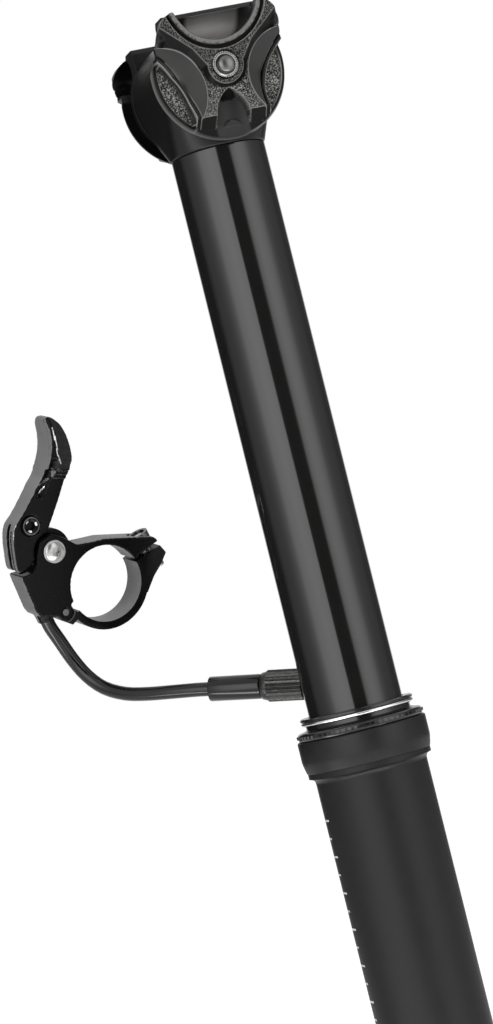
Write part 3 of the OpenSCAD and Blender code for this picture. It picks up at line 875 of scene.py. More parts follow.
@dataclass
class Studio:
    """Camera, floor and soft light."""

    eye: Sequence[float] = (-240.56, -762.97, 49.29)
    right: Sequence[float] = (0.9336, -0.2656, -0.2405)
    up: Sequence[float] = (0.2218, -0.0989, 0.9701)
    ahead: Sequence[float] = (0.2814, 0.9590, 0.0335)
    lens: float = 103.61
    clip: Point2 = (0.05, 50.0)
    front: float = -107.5
    tent_radius: float = 1.3
    tent_low: float = -0.22
    tent_high: float = 0.95
    floor_height: float = -0.2225
    floor_r: float = 6.0
    floor_tone: Colour = (0.62, 0.62, 0.62)
    floor_roughness: float = 0.9
    strip_place: Sequence[float] = (-170.0, -118.0, -212.0)
    strip_long: float = 700.0
    strip_wide: float = 110.0
    strip_light: float = 8.0

    # Light on the object, and to the camera and in reflections
    sky: Point2 = (0.5, 1.0)
    floor_glow: Point2 = (0.1, 0.7)

    # Share of the tent's light by share of its height
    fade: tuple[Point2, ...] = ((0.0, 0.9), (0.35, 1.0), (0.75, 1.0), (1.0, 0.75))

    # Light of the tent by angle from the camera, to the right of it
    glow: tuple[Point2, ...] = (
        (-180, 0.9), (-162, 0.9), (-156, 0.03), (-126, 0.02), (-108, 0.03), (-92, 0.43), (-79, 0.55), (-67, 0.83),
        (-56, 1.4), (-45, 2.65), (-24, 3.2), (-15, 3.1), (-4, 2.9), (-2, 0.0), (27, 0.0), (34, 2.1), (45, 2.7),
        (56, 2.6), (67, 2.1), (79, 1.0), (92, 0.6), (108, 0.4), (127, 0.15), (154, 0.08), (162, 0.9), (180, 0.9))

    def camera(self) -> None:
        """Set the camera at the photograph's place."""
        data = bpy.data.cameras.new("camera")
        data.lens = self.lens
        data.clip_start, data.clip_end = self.clip
        made = bpy.data.objects.new("camera", data)
        bpy.context.scene.collection.objects.link(made)
        side, top, back = Vector(self.right), Vector(self.up), -Vector(self.ahead)
        turn = Matrix((side, top, back)).transposed().to_4x4()
        made.matrix_world = Matrix.Translation(Vector(self.eye) * MM) @ turn
        bpy.context.scene.camera = made

    def world(self) -> None:
        """Light the surroundings: white to the camera, softer on the object."""
        world = bpy.data.worlds.new("studio")
        bpy.context.scene.world = world
        world.use_nodes = True
        tree = world.node_tree
        sky = tree.nodes["Background"]
        sky.inputs["Color"].default_value = (1, 1, 1, 1)
        tree.links.new(ranged(tree, viewed(tree), *self.sky), sky.inputs["Strength"])

    def _laid(self, name: str, form: Form) -> tuple[Piece, Tree]:
        """Put a form of the studio in the scene, with a new material.

        Args:
            name: Name of the object.
            form: The form, in metres, which is freed.

        Returns:
            The object and its material's nodes.
        """
        mesh = bpy.data.meshes.new(name)
        form.to_mesh(mesh)
        form.free()
        skin = bpy.data.materials.new(name + "_skin")
        skin.use_nodes = True
        mesh.materials.append(skin)
        return linked(name, mesh), skin.node_tree

    def floor(self) -> None:
        """Lay a pale floor that keeps the object's shadow."""
        form = bmesh.new()
        place = Matrix.Translation((0, 0, self.floor_height))
        bmesh.ops.create_circle(form, cap_ends=True, segments=96, radius=self.floor_r, matrix=place)
        made, tree = self._laid("floor", form)
        shader = tree.nodes["Principled BSDF"]
        shader.inputs["Base Color"].default_value = (*self.floor_tone, 1)
        shader.inputs["Roughness"].default_value = self.floor_roughness
        shader.inputs["Emission Color"].default_value = (1, 1, 1, 1)
        tree.links.new(ranged(tree, viewed(tree), *self.floor_glow), shader.inputs["Emission Strength"])

    def _panel(self, name: str, form: Form, light: float | None = None) -> Piece:
        """Set up a soft light panel that the camera doesn't see.

        Args:
            name: Name of the panel.
            form: Its form, in metres, which is freed.
            light: Its strength, or None where the form's own glow gives it.

        Returns:
            The panel.
        """
        made, tree = self._laid(name, form)
        tree.nodes.remove(tree.nodes["Principled BSDF"])
        lamp = tree.nodes.new("ShaderNodeEmission")
        if light is None:
            tree.links.new(marked(tree, Mark.GLOW), lamp.inputs["Strength"])
        else:
            lamp.inputs["Strength"].default_value = light
        tree.links.new(lamp.outputs[0], tree.nodes["Material Output"].inputs["Surface"])
        made.visible_camera = False
        return made

    def tent(self) -> None:
        """Stand a ring of soft light panels round the object."""
        form = bmesh.new()
        layer = form.verts.layers.float.new(Mark.GLOW.value)
        columns = []
        for angle, light in self.glow[:-1]:
            turn = math.radians(self.front + angle)
            column = []
            for share, fade in self.fade:
                height = self.tent_low + share * (self.tent_high - self.tent_low)
                vert = form.verts.new((self.tent_radius * math.cos(turn), self.tent_radius * math.sin(turn), height))
                vert[layer] = light * fade
                column.append(vert)
            columns.append(column)
        for left, right in zip(columns, columns[1:] + columns[:1]):
            for k in range(len(self.fade) - 1):
                form.faces.new((left[k], right[k], right[k + 1], left[k + 1]))
        self._panel("tent", form)

    def strip(self) -> None:
        """Lay a low panel in front of the object, for the streaks on the cable."""
        form = bmesh.new()
        side = Vector((self.right[0], self.right[1], 0)).normalized() * self.strip_long / 2
        way = Vector((self.ahead[0], self.ahead[1], 0)) * self.strip_wide / 2
        corners = ((-1, -1), (1, -1), (1, 1), (-1, 1))
        form.faces.new([form.verts.new((Vector(self.strip_place) + side * a + way * b) * MM) for a, b in corners])
        self._panel("strip", form, self.strip_light).visible_diffuse = False

    def build(self) -> None:
        """Make the studio."""
        self.camera()
        self.world()
        self.floor()
        self.tent()
        self.strip()
        bpy.context.scene.view_settings.view_transform = "Standard"


# Cable


@dataclass
class CableEnd:
    """Outer cable, ferrule and barrel adjuster at the post."""

    crank_y: float = 20.8
    anchor_z: float = 24.1
    turn: float = -17.5
    side: float = 15.0
    rise: float = 10.0
    adjuster_from: float = 14.2
    adjuster_to: float = 25.2
    adjuster_r: float = 4.4
    ferrule_to: float = 40.5
    ferrule_r: float = 3.5
    cable_r: float = 2.0
    cable_bevel: int = 7
    wire_r: float = 0.9
    stud_r: float = 2.45
    wire_way_r: float = 1.2
    ridge: float = 0.62
    lead: float = 4.0
    seat_lead: float = 3.0
    span_steps: int = 3
    lever_seat: Sequence[float] = (-63.2, 65.5, 61.5)
    seat_way: Sequence[float] = (0.287, 0.282, -0.915)
    ridges: int = 26

    # Places on the route between the ferrule and the lever
    middle: tuple[tuple[float, float, float], ...] = (
        (-36.8, 48.4, 32.9), (-42.2, 53.5, 33.9), (-47.3, 58.7, 35.4), (-51.8, 63.8, 38.4), (-55.2, 66.8, 42.9),
        (-58.0, 67.7, 48.5), (-60.5, 67.2, 54.6))

    def axis(self) -> tuple[Vector, Vector]:
        """Find the adjuster's axis.

        Returns:
            Its origin, in mm, and its direction.
        """
        side, rise = math.radians(self.side), math.radians(self.rise)
        way = Vector((-math.cos(side) * math.cos(rise), math.sin(side) * math.cos(rise), math.sin(rise)))
        turn = Matrix.Rotation(math.radians(self.turn), 3, "Z")
        return turn @ Vector((0, self.crank_y, self.anchor_z)), turn @ way

    def route(self) -> list[Vector]:
        """Points along the cable, in mm.

        Returns:
            The route, on one smooth curve.
        """
        start, way = self.axis()
        end = start + self.ferrule_to * way
        seat = Vector(self.lever_seat)
        marks = [end, end + self.lead * way, *(Vector(p) for p in self.middle),
                 seat + self.seat_lead * Vector(self.seat_way), seat]
        padded = [2 * marks[0] - marks[1], *marks, 2 * marks[-1] - marks[-2]]
        points = []
        for four in zip(padded, padded[1:], padded[2:], padded[3:]):
            for k in range(self.span_steps):
                points.append(Vector([bend(*values, k / self.span_steps) for values in zip(*four)]))
        return [*points, marks[-1]]

    def cable(self) -> None:
        """Make the outer cable as one curve."""
        points = [p * MM for p in self.route()]
        data = bpy.data.curves.new("outer_cable", "CURVE")
        data.dimensions = "3D"
        data.bevel_depth = self.cable_r * MM
        data.bevel_resolution = self.cable_bevel
        data.use_fill_caps = True
        line = data.splines.new("POLY")
        line.points.add(len(points) - 1)
        for spot, point in zip(line.points, points):
            spot.co = (*point, 1)
        line.use_smooth = True
        made = bpy.data.objects.new("outer_cable", data)
        bpy.context.scene.collection.objects.link(made)
        data.materials.append(CABLE.material())
        settled(made, Body.LOWER, "cable_black", "cable_housing")

    def ferrule(self) -> None:
        """Turn the ferrule with its stepped mouth."""
        start, way = self.axis()
        low, high, r = self.adjuster_to + 0.1, self.ferrule_to, self.ferrule_r
        profile = [(self.wire_r, low), (r - 0.45, low), (r - 0.12, low + 0.15), (r, low + 0.45), (r, high - 0.35),
                   (r - 0.12, high - 0.1), (r - 0.4, high), (self.cable_r + 0.05, high),
                   (self.cable_r + 0.05, high - 0.02), (self.wire_r, high - 0.02)]
        made = turned("cable_ferrule", profile, along(start, way), steps=96)
        settled(painted(made, FERRULE), Body.LOWER, "ferrule_black", "ferrule")

    def adjuster(self) -> None:
        """Turn the barrel adjuster and cut its knurl."""
        start, way = self.axis()
        place = along(start, way)
        low, high, r = self.adjuster_from - 1.3, self.adjuster_to, self.adjuster_r - 0.3
        stud, wire = self.stud_r, self.wire_way_r
        profile = [(stud, low), (r - 0.3, low), (r, low + 0.3), (r, high - 1.5), (self.ferrule_r + 0.3, high - 0.25),
                   (self.ferrule_r + 0.05, high), (wire, high), (wire, low + 9.8), (stud, low + 9.8)]
        made = turned("adjuster_barrel", profile, place, steps=120)
        long = high - low - 2.2
        knurled(made, KNURL, place, self.ridges, r - 0.06, (self.ridge, self.ridge, long), low + 0.35 + long / 2)
        settled(made, Body.ADJUSTER, "knurl_grey", "barrel_adjuster")

    def build(self) -> None:
        """Make the cable end."""
        self.cable()
        self.ferrule()
        self.adjuster()


# Post


@dataclass
class Post:
    """Stanchion, lower tube, collar and wiper."""

    lower_r: float = 15.45
    stanchion_r: float = 13.0
    stanchion_bore: float = 11.5
    stanchion_low: float = -70.0
    stanchion_high: float = 173.0
    flare_r: float = 17.0
    cup_r: float = 16.4
    collar_r: float = 17.8
    collar_low: float = 3.0
    collar_high: float = 11.8
    cup_high: float = 11.0
    cup_floor: float = 4.3
    wiper_high: float = 17.8
    neck_r: float = 14.45
    ring_z: float = 16.3
    ring_wire: float = 0.55
    window_in: float = 2.5
    window_out: float = 7.8
    window_deep: float = 14.0
    window_y: float = 15.0
    actuator_turn: float = -17.5
    teeth: int = 66
    tooth: tuple[float, float, float] = (0.62, 0.62, 0.75)
    scale_turn: float = 172.0
    scale_step: float = 10.0
    mark_deep: float = 0.05
    mark_tall: float = 0.55

    # Name, number, height of the first and width of the scale's marks
    scale_rows: Sequence[tuple[str, int, float, float]] = (("long", 20, -10.1, 6.2), ("short", 19, -15.1, 3.6))

    def stanchion(self) -> None:
        """Turn the polished stanchion."""
        r, bore, low, high = self.stanchion_r, self.stanchion_bore, self.stanchion_low, self.stanchion_high
        profile = [(bore, low), (r - 0.3, low), (r, low + 0.3), (r, high - 0.2), (r - 0.2, high), (bore, high)]
        made = turned("polished_stanchion", profile, steps=256)
        settled(painted(made, STANCHION), Body.UPPER, "stanchion_gloss", "stanchion")

    def collar(self) -> None:
        """Turn the collar with its band, groove and flare, and open its windows."""
        r, low, high = self.collar_r, self.collar_low, self.collar_high
        bore, lip = self.cup_r + 0.02, self.lower_r + 0.15
        profile = [(bore, low), (self.flare_r - 0.05, low), (self.flare_r + 0.18, low + 0.18), (r - 0.5, low + 0.7),
                   (r - 0.36, low + 1.3), (r - 0.22, low + 2.0), (r - 0.06, low + 2.8), (r, low + 3.4),
                   (r, high - 0.45), (r - 0.07, high - 0.2), (r - 0.22, high - 0.05), (r - 0.4, high), (lip, high),
                   (lip, self.cup_high + 0.1), (bore, self.cup_high + 0.1)]
        made = turned("post_collar", profile, steps=192)
        wide, tall = self.window_out - self.window_in, self.cup_high - self.cup_floor
        size = Matrix.Diagonal((wide, self.window_deep, tall, 1.0))
        turn = Matrix.Rotation(math.radians(self.actuator_turn), 4, "Z")
        for inner in (-self.window_out, self.window_in):
            form = bmesh.new()
            bmesh.ops.create_cube(form, size=1.0)
            spot = Matrix.Translation((inner + wide / 2, self.window_y, self.cup_floor + tall / 2))
            carve(made, finished("window", form, turn @ spot @ size))
        smooth(made.data, 30)
        settled(painted(made, COLLAR), Body.LOWER, "collar_black", "collar")

    def wiper(self) -> None:
        """Turn the wiper seal, with fine teeth on its flange, and its ring."""
        low, high, r = self.collar_high, self.wiper_high, self.collar_r
        inner, lip = self.stanchion_r + 0.05, self.lower_r + 0.25
        profile = [(self.stanchion_r + 0.5, low), (r - 0.9, low), (r - 0.55, low + 0.45), (r - 0.55, low + 1.7),
                   (r - 0.75, low + 2.05), (r - 1.2, low + 2.3), (self.neck_r + 0.9, low + 2.55),
                   (self.neck_r, low + 2.9), (self.neck_r, high - 1.0), (lip - 0.2, high - 0.85),
                   (lip, high - 0.65), (lip, high - 0.35), (lip - 0.4, high), (inner + 0.3, high),
                   (inner, high - 0.3), (inner, high - 1.2), (self.stanchion_r + 0.5, high - 2)]
        made = turned("wiper_lip", profile, steps=192)
        knurled(made, RUBBER, Matrix(), self.teeth, r - 0.62, self.tooth, low + 1.25)
        settled(made, Body.LOWER, "seal_rubber", "wiper_seal")
        middle, wire = self.neck_r + 0.6, self.ring_wire
        ring = turned("bright_ring", arc(wire, 0, 360, 20, (middle, self.ring_z))[:-1], steps=192)
        settled(painted(ring, STEEL), Body.LOWER, "bright_steel", "wiper_ring")

    def scale(self) -> None:
        """Print the height scale down the rear of the lower tube."""
        tree = scale_tree()
        turn = Matrix.Rotation(math.radians(self.scale_turn), 4, "Z")
        marks = []
        for title, count, start, wide in self.scale_rows:
            marks.append(tree.grown("scale_" + title, turn, Count=count, Start=(0, 0, start),
                                    Step=(0, 0, -self.scale_step), Mark=(wide, self.mark_deep, self.mark_tall),
                                    Radius=self.lower_r, Material=PRINT.material()))
        made = linked("height_scale", marks[0])
        joined(made, marks[1])
        settled(painted(made, PRINT), Body.LOWER, "tube_matte")

    def build(self) -> None:
        """Make the post."""
        self.stanchion()
        self.collar()
        self.wiper()
        self.scale()


# Saddle clamp


@dataclass
class Spot:
    """Height of a cheek's skin at a place, and how it is finished there, with its painted light and shade."""

    high: float
    pits: float = 0.0
    tone: float = 0.0

    def toward(self, share: float, high: float, pits: float = 0.0, tone: float = 0.0) -> None:
        """Move part of the way to another skin.

        Args:
            share: Share of the way.
            high: Height of the other skin.
            pits: How grained it is.
            tone: How satin it is, lighter where light is painted and darker where shade is painted.
        """
        self.high, self.pits, self.tone = (mix(a, b, share) for a, b in (
            (self.high, high), (self.pits, pits), (self.tone, tone)))


@dataclass
class Relief:
    """Front and back of a cheek, as heights over the plane round its bolt."""

    rim_r: float = 18.1
    rim_line: float = 17.3
    foot_r: float = 18.6
    foot_high: float = 0.7
    inside: float = 16.5
    inside_steps: Point2 = (2.6, 5.4)
    thin: float = 1.1
    rim: float = 18.9
    rim_rise: Point2 = (17.1, 17.35)
    boss_r: float = 4.9
    scoop_v: float = 18.6
    scoop_r: float = 12.0
    rail_y: float = 22.0
    rail_v: float = 11.4
    rail_r: float = 3.52
    hole_r: float = 3.62
    recess_r: float = 3.66
    recess: float = 23.6
    round_v: float = 5.0
    round_half: float = 17.4
    edge_wide: float = 0.2
    cell: float = 0.45
    grain: float = 0.05
    grain_scale: float = 2.1

    # Heights of the pocket, its bead, the petal and the legs, with their slopes and where they rise
    pocket: float = 18.2
    pocket_grain: Point2 = (0.9, 1.1)
    bead: float = 20.4
    bead_over: float = 0.35
    bead_rise: Point2 = (-1.0, -0.55)
    bead_drop: Point2 = (0.25, 0.55)
    bead_groove: float = 0.45
    crest: float = 23.9
    petal_low: float = 19.2
    petal_slope: float = 0.95
    petal_level: Point2 = (-3.0, 7.5)
    petal_rise: Point2 = (0.65, 0.9)
    leg: float = 23.3
    leg_slope: float = 0.03
    leg_rise: Point2 = (0.0, 0.3)
    fall: float = 23.0
    fall_v: float = -12.4
    fall_slope: float = 1.3

    # Floor of the flute and its tongue
    flute: float = 19.9
    flute_half: float = 4.8
    flute_round: float = 1.5
    flute_v: float = -13.0
    flute_slope: float = 0.10
    flute_rise: Point2 = (0.0, 0.4)
    tongue: float = 19.7
    tongue_r: float = 2.7
    tongue_v: float = -16.0
    tongue_slope: float = 0.35
    mouth_v: float = -16.9
    mouth_slope: float = 0.9

    # Height of the web, and the band and the groove round the scoop
    web_high: float = 25.0
    web_low_v: float = -3.0
    web_level_v: float = 12.5
    web_rise: float = 0.22
    web_slope: float = 1.3
    web_side: float = 8.0
    band_over: float = 0.15
    band_from: float = 0.35
    band_to: float = 1.2
    band_slope: float = 0.9
    groove_from: float = 1.3
    groove_to: float = 2.5
    groove_deep: float = 1.2

    # Corners of the web's edge on the right, directions out and down at them, and of the edges between them
    web: tuple[Point2, ...] = ((4.9, 0.5), (8.3, 5.4), (15.9, 11.82))
    web_out: tuple[Point2, ...] = ((0.82, 0.57), (0.73, 0.66), (0.645, 0.763))
    web_edges: tuple[Point2, ...] = ((0.822, 0.570), (0.645, 0.763))

    # Corners of the shoulder's outline and of the horn's tip on the right
    shoulder: tuple[Point2, ...] = ((17.55, 7.2), (17.4, 8.5), (16.9, 10.6), (15.9, 12.7), (14.6, 14.3), (13.2, 15.2),
                                    (11.9, 15.5))
    horn: Point2 = (11.0, 15.3)

    # Middle and radius of the petal's edge, of the pocket's bead and of the flute's arch
    petal: tuple[float, float, float] = (18.6, -4.6, 12.5)
    lip: tuple[float, float, float] = (32.4, -11.9, 22.5)
    arch: tuple[float, float, float] = (-3.9, -13.5, 8.7)

    def lip_way(self, s: float, v: float) -> float:
        """Distance inward past the middle of the pocket's bead."""
        return math.hypot(s - self.lip[0], v - self.lip[1]) - self.lip[2]

    def petal_way(self, s: float, v: float) -> float:
        """Distance outward past the inner edge of the petal."""
        return self.petal[2] - math.hypot(s - self.petal[0], v - self.petal[1])

    def arch_way(self, s: float, v: float) -> float:
        """Distance inward past the edge of the arched flute."""
        u0, v0, r = self.arch
        return r - math.hypot(s - u0, max(v, v0) - v0)

    def web_way(self, s: float, v: float) -> float:
        """Measure the way out of the raised web.

        Args:
            s: Place along X from the bolt, on either side.
            v: Place along Z from the bolt.

        Returns:
            Distance outward past its edge.
        """
        (s0, v0), (s1, v1), _ = self.web
        (a0, b0), (a1, b1) = self.web_edges
        lower = a0 * (s - s0) - b0 * (v - v0)
        upper = a1 * (s - s1) - b1 * (v - v1)
        return min(max(min(upper, lower), v0 - v), math.hypot(s, v) - self.boss_r)

    def scoop_way(self, u: float, v: float) -> float:
        """Distance outward past the edge of the scoop."""
        return math.hypot(u, v - self.scoop_v) - self.scoop_r

    def web_top(self, v: float) -> float:
        """Height of the web."""
        return self.web_high + self.web_rise * (min(v, self.web_level_v) - self.web_low_v)

    def back(self, v: float) -> float:
        """Height of the inner face, with its rail groove.

        Args:
            v: Place along Z from the bolt.

        Returns:
            The height.
        """
        low, high = self.inside_steps
        if v < low:
            return self.inside
        if v < high:
            return self.inside + v - low
        out = self.rail_y + 0.1
        reach = self.rail_r ** 2 - (v - self.rail_v) ** 2
        if reach > 0:
            out = max(out, self.rail_y + math.sqrt(reach))
        return mix(self.inside + high - low, out, ramp(v, high, high + 0.2))

    def front(self, u: float, v: float) -> Spot:
        """Skin of the outer face.

        Args:
            u: Place along X from the bolt.
            v: Place along Z from the bolt.

        Returns:
            Its height and finish there.
        """
        s, r = abs(u), math.hypot(u, v)
        lip, out = self.lip_way(s, v), self.petal_way(s, v)
        # Painted light and shade by region: dark on the web's slopes and the chamfers under the legs, where shade
        # falls, light on the petals, the flute and the scoop's band
        # Grained pocket inside a smooth rim
        spot = Spot(self.pocket, pits=0.8 * ramp(-lip, *self.pocket_grain), tone=0.2)
        spot.toward(ramp(r, *self.rim_rise), self.rim, tone=0.15)
        # Petal that falls away outward, behind the pocket's bead and a groove
        slope = mix(self.petal_slope, 0.0, ramp(v, *self.petal_level))
        skin = max(self.petal_low, self.crest - slope * max(out, 0.0))
        top = max(self.bead, skin + self.bead_over)
        spot.toward(ramp(lip, *self.bead_rise), top, tone=0.35)
        spot.toward(ramp(lip, *self.bead_drop), min(top, skin) - self.bead_groove)
        spot.toward(ramp(lip, *self.petal_rise), skin, tone=1.0)
        # Grained legs beside the flute, which fall away at the bottom
        spot.toward(ramp(-out, *self.leg_rise), self.leg - self.leg_slope * max(0.0, -v), pits=0.7, tone=0.2)
        fall = max(self.fall - self.fall_slope * max(0.0, self.fall_v - v), self.rim)
        if v < self.fall_v and spot.high > fall:
            spot.toward(1.0, fall, pits=spot.pits * (1 - ramp(self.fall_v - v, 0.0, self.edge_wide)), tone=0.1)
        self._flute(s, v, spot)
        # Raised web up to the horns, the scoop's band and the bolt's recess
        web = self.web_way(s, v)
        raised = self.web_top(v) - self.web_slope * max(web, 0.0) - self.web_side * max(out, 0.0)
        if raised > spot.high:
            tone = 0.5 * ramp(s, 16.0, 16.3) * ramp(web, 0.0, self.edge_wide)
            spot.toward(1.0, raised, pits=0.4 * (1 - ramp(web, -0.1, 0.1)), tone=tone)
        self._scoop(u, v, spot)
        edge = self.recess_r + self.edge_wide
        if r < edge:
            spot.toward(1 - ramp(r, self.recess_r, edge), self.recess)
        spot.high = max(spot.high, self.back(v) + self.thin)
        return spot

    def _flute(self, s: float, v: float, spot: Spot) -> None:
        """Hollow the arched flute and its tongue out of the skin.

        Args:
            s: Place along X from the bolt, on either side.
            v: Place along Z from the bolt.
            spot: The skin there, which is changed.
        """
        way = self.arch_way(s, v)
        if way <= 0:
            return
        sunk = self.flute_round * (1 - min(1.0, s / self.flute_half) ** 2)
        floor = self.flute - sunk + self.flute_slope * max(0.0, v - self.flute_v)
        tongue = self.tongue_r - math.hypot(s, (v - self.tongue_v) * 1.1)
        floor = mix(floor, self.tongue + self.tongue_slope * (v - self.tongue_v - 2.0), ramp(tongue, 0.0, 0.35))
        floor = min(floor, self.rim + self.mouth_slope * max(0.0, v - self.mouth_v))
        spot.toward(ramp(way, *self.flute_rise), min(spot.high, max(floor, self.pocket)), tone=0.7)

    def _scoop(self, u: float, v: float, spot: Spot) -> None:
        """Raise the band and sink the groove round the scoop.

        Args:
            u: Place along X from the bolt.
            v: Place along Z from the bolt.
            spot: The skin there, which is changed.
        """
        way = self.scoop_way(u, v)
        if way > self.groove_to:
            return
        top = self.web_top(v)
        beyond = max(0.0, self.band_from - way) + max(0.0, way - self.band_to)
        band = Spot(top + self.band_over - self.band_slope * beyond, pits=0.15, tone=0.8)
        band.toward(ramp(way, self.groove_from, self.groove_from + self.edge_wide), top - self.groove_deep)
        spot.high = max(spot.high, top)
        spot.toward(1 - ramp(way, self.groove_to - self.edge_wide, self.groove_to), band.high, band.pits, band.tone)

    def lines(self, u: float, v: float) -> dict[float, float]:
        """Measure the distances to the lines of painted highlight along the edges.

        Args:
            u: Place along X from the bolt.
            v: Place along Z from the bolt.

        Returns:
            Distances by how bright the line is.
        """
        s, way = abs(u), self.scoop_way(u, v)
        lip, out, web, arch = self.lip_way(s, v), self.petal_way(s, v), self.web_way(s, v), self.arch_way(s, v)
        far = 9.0
        return {0.4: 0.0 if self.band_from < way < self.band_to else far,
                0.85: abs(out) if web > 0.6 and v > -13 else far,
                0.5: min(abs(web), abs(way - self.band_from)) if math.hypot(u, v) > 4.2 else far,
                0.8: abs(way - self.groove_to) if web < 0.3 else far,
                0.9: min(abs(lip + 0.5) if v > -15.8 else far,
                         abs(math.hypot(u, v) - self.rim_line) if lip < -0.5 else far),
                0.6: min(abs(lip - 0.75) if -15 < v < 4 else far, abs(arch) if v > -15.5 else far),
                0.7: abs(v - self.fall_v) if s > 4.5 and out < 0 else far}

    def edge(self, u: float, v: float) -> float:
        """How much painted highlight a place gets: from 1 on an edge to 0 beside it."""
        return max(bright * ramp(-away, -self.edge_wide, 0.0) for bright, away in self.lines(u, v).items())

    def outline(self) -> list[Point2]:
        """Corners of the cheek's outline, from the bottom round by the right.

        Returns:
            Points about 0.35 mm apart, counter-clockwise.
        """
        right = arc(self.rim_r, -90, 16, 96)
        marks = [right[-6], right[-1], *self.shoulder, self.horn]
        for four in zip(marks, marks[1:], marks[2:], marks[3:]):
            for k in range(1, 9):
                right.append(tuple(bend(*values, k / 8) for values in zip(*four)))
        start = math.degrees(math.atan2(right[-1][1] - self.scoop_v, right[-1][0]))
        right += arc(self.scoop_r, start, -90, 48, (0.0, self.scoop_v))[1:]
        left = [(-u, v) for u, v in reversed(right[1:-1])]
        return right + left

    def holds(self, u: float, v: float, gap: float = 0.0) -> bool:
        """Tell whether a place lies on the cheek.

        Args:
            u: Place along X from the bolt.
            v: Place along Z from the bolt.
            gap: Distance that it keeps from the outline.

        Returns:
            True inside the outline.
        """
        if math.hypot(u, v - self.scoop_v) < self.scoop_r + gap:
            return False
        if v < self.round_v:
            return math.hypot(u, v) < self.rim_r - gap
        return abs(u) < self._half_width(v) - gap

    def _deep(self, u: float, v: float) -> bool:
        """Whether a place lies well inside the outline."""
        return v < self.horn[1] and self.holds(u, v, self.edge_wide)

    def _half_width(self, v: float) -> float:
        """Measure the upper body.

        Args:
            v: Place along Z from the bolt.

        Returns:
            Half its width there, or 0 above it.
        """
        marks = ((self.round_half, self.round_v), *self.shoulder)
        for (a, low), (b, high) in zip(marks, marks[1:]):
            if low <= v <= high:
                return mix(a, b, (v - low) / (high - low))
        return 0.0

    def creases(self) -> list[list[Point2]]:
        """Draw the lines that the mesh follows, some to each step of the relief.

        Returns:
            Places along each line.
        """
        lines: list[list[Point2]] = []

        def ring(u0: float, v0: float, r: float, first: float = 0.0, last: float = 360.0) -> None:
            """Add an arc, and its mirror image if it is off the middle.

            Args:
                u0: Middle along X.
                v0: Middle along Z.
                r: Radius.
                first: Angle at its start, in degrees.
                last: Angle at its end.
            """
            count = max(12, int(abs(math.radians(last - first)) * r / 0.4))
            line = arc(r, first, last, count, (u0, v0))
            lines.append(line)
            if abs(u0) > 1e-6:
                lines.append([(-u, v) for u, v in line])

        for grow in (-1.0, -0.7, -0.5, -0.3, 0.25, 0.55, 0.75, 0.95):
            ring(self.lip[0], self.lip[1], self.lip[2] + grow, 100, 260)
        for grow in (-0.2, 0.0, 0.2):
            ring(self.petal[0], self.petal[1], self.petal[2] + grow, 85, 260)
            ring(self.arch[0], self.arch[1], self.arch[2] + grow, 0, 64)
        for r in (17.1, self.rim_line, 17.5):
            ring(0, 0, r, 150, 390)
        for r in (self.recess_r, self.recess_r + self.edge_wide):
            ring(0, 0, r)
        for grow in (0.15, 0.35, 0.55, 1.2, self.groove_from, 1.5, 2.3, self.groove_to, 2.7):
            ring(0, self.scoop_v, self.scoop_r + grow, 170, 370)
        for shift in (-self.edge_wide, 0.0, self.edge_wide):
            ring(0, 0, self.boss_r + shift, 174, 366)
            corners = [(s + a * shift, v - b * shift) for (s, v), (a, b) in zip(self.web, self.web_out)]
            for side in (-1, 1):
                lines.append([(side * mix(a, c, k / 24), mix(b, d, k / 24))
                              for (a, b), (c, d) in zip(corners, corners[1:]) for k in range(25)])
                lines.append([(side * s, self.fall_v + shift) for s in (4.9, 6.0, 7.1, 8.2)])
        return lines

    def cells(self) -> tuple[list[Vector], list[Triangle]]:
        """Triangulate the cheek's plan.

        Returns:
            Places in the plan and the triangles between them.
        """
        spots: list[Vector] = []
        edges: list[tuple[int, int]] = []

        def chain(line: Sequence[Point2], closed: bool) -> None:
            """Add a line of places and the edges that the mesh keeps.

            Args:
                line: The places.
                closed: Whether the last one joins the first.
            """
            first = len(spots)
            spots.extend(Vector(p) for p in line)
            edges.extend((k, k + 1) for k in range(first, len(spots) - 1))
            if closed:
                edges.append((len(spots) - 1, first))

        chain(self.outline(), True)
        chain(arc(self.hole_r, 0, 360, 72)[:-1], True)
        for line in self.creases():
            run: list[Point2] = []
            for point in line:
                if self._deep(*point):
                    run.append(point)
                elif run:
                    if len(run) > 1:
                        chain(run, False)
                    run = []
            if len(run) > 1:
                chain(run, False)
        near: dict[tuple[int, int], list[Point2]] = {}
        for p in (tuple(spot) for spot in spots):
            near.setdefault((math.floor(p[0]), math.floor(p[1])), []).append(p)
        for row in range(-44, 42):
            for column in range(-44, 45):
                u, v = (column + 0.5 * (row % 2)) * self.cell, row * self.cell * 0.94
                if not self._deep(u, v) or math.hypot(u, v) < self.hole_r + self.edge_wide:
                    continue
                close = (p for a in (-1, 0, 1) for b in (-1, 0, 1)
                         for p in near.get((math.floor(u) + a, math.floor(v) + b), ()))
                if all(math.hypot(u - p[0], v - p[1]) > self.edge_wide for p in close):
                    spots.append(Vector((u, v)))
        places, _, faces, *_ = geometry.delaunay_2d_cdt(spots, edges, [], 0, 1e-5)
        kept = []
        for face in faces:
            u = sum(places[k][0] for k in face) / len(face)
            v = sum(places[k][1] for k in face) / len(face)
            if self.holds(u, v) and math.hypot(u, v) > self.hole_r:
                kept.append(tuple(face))
        return places, kept

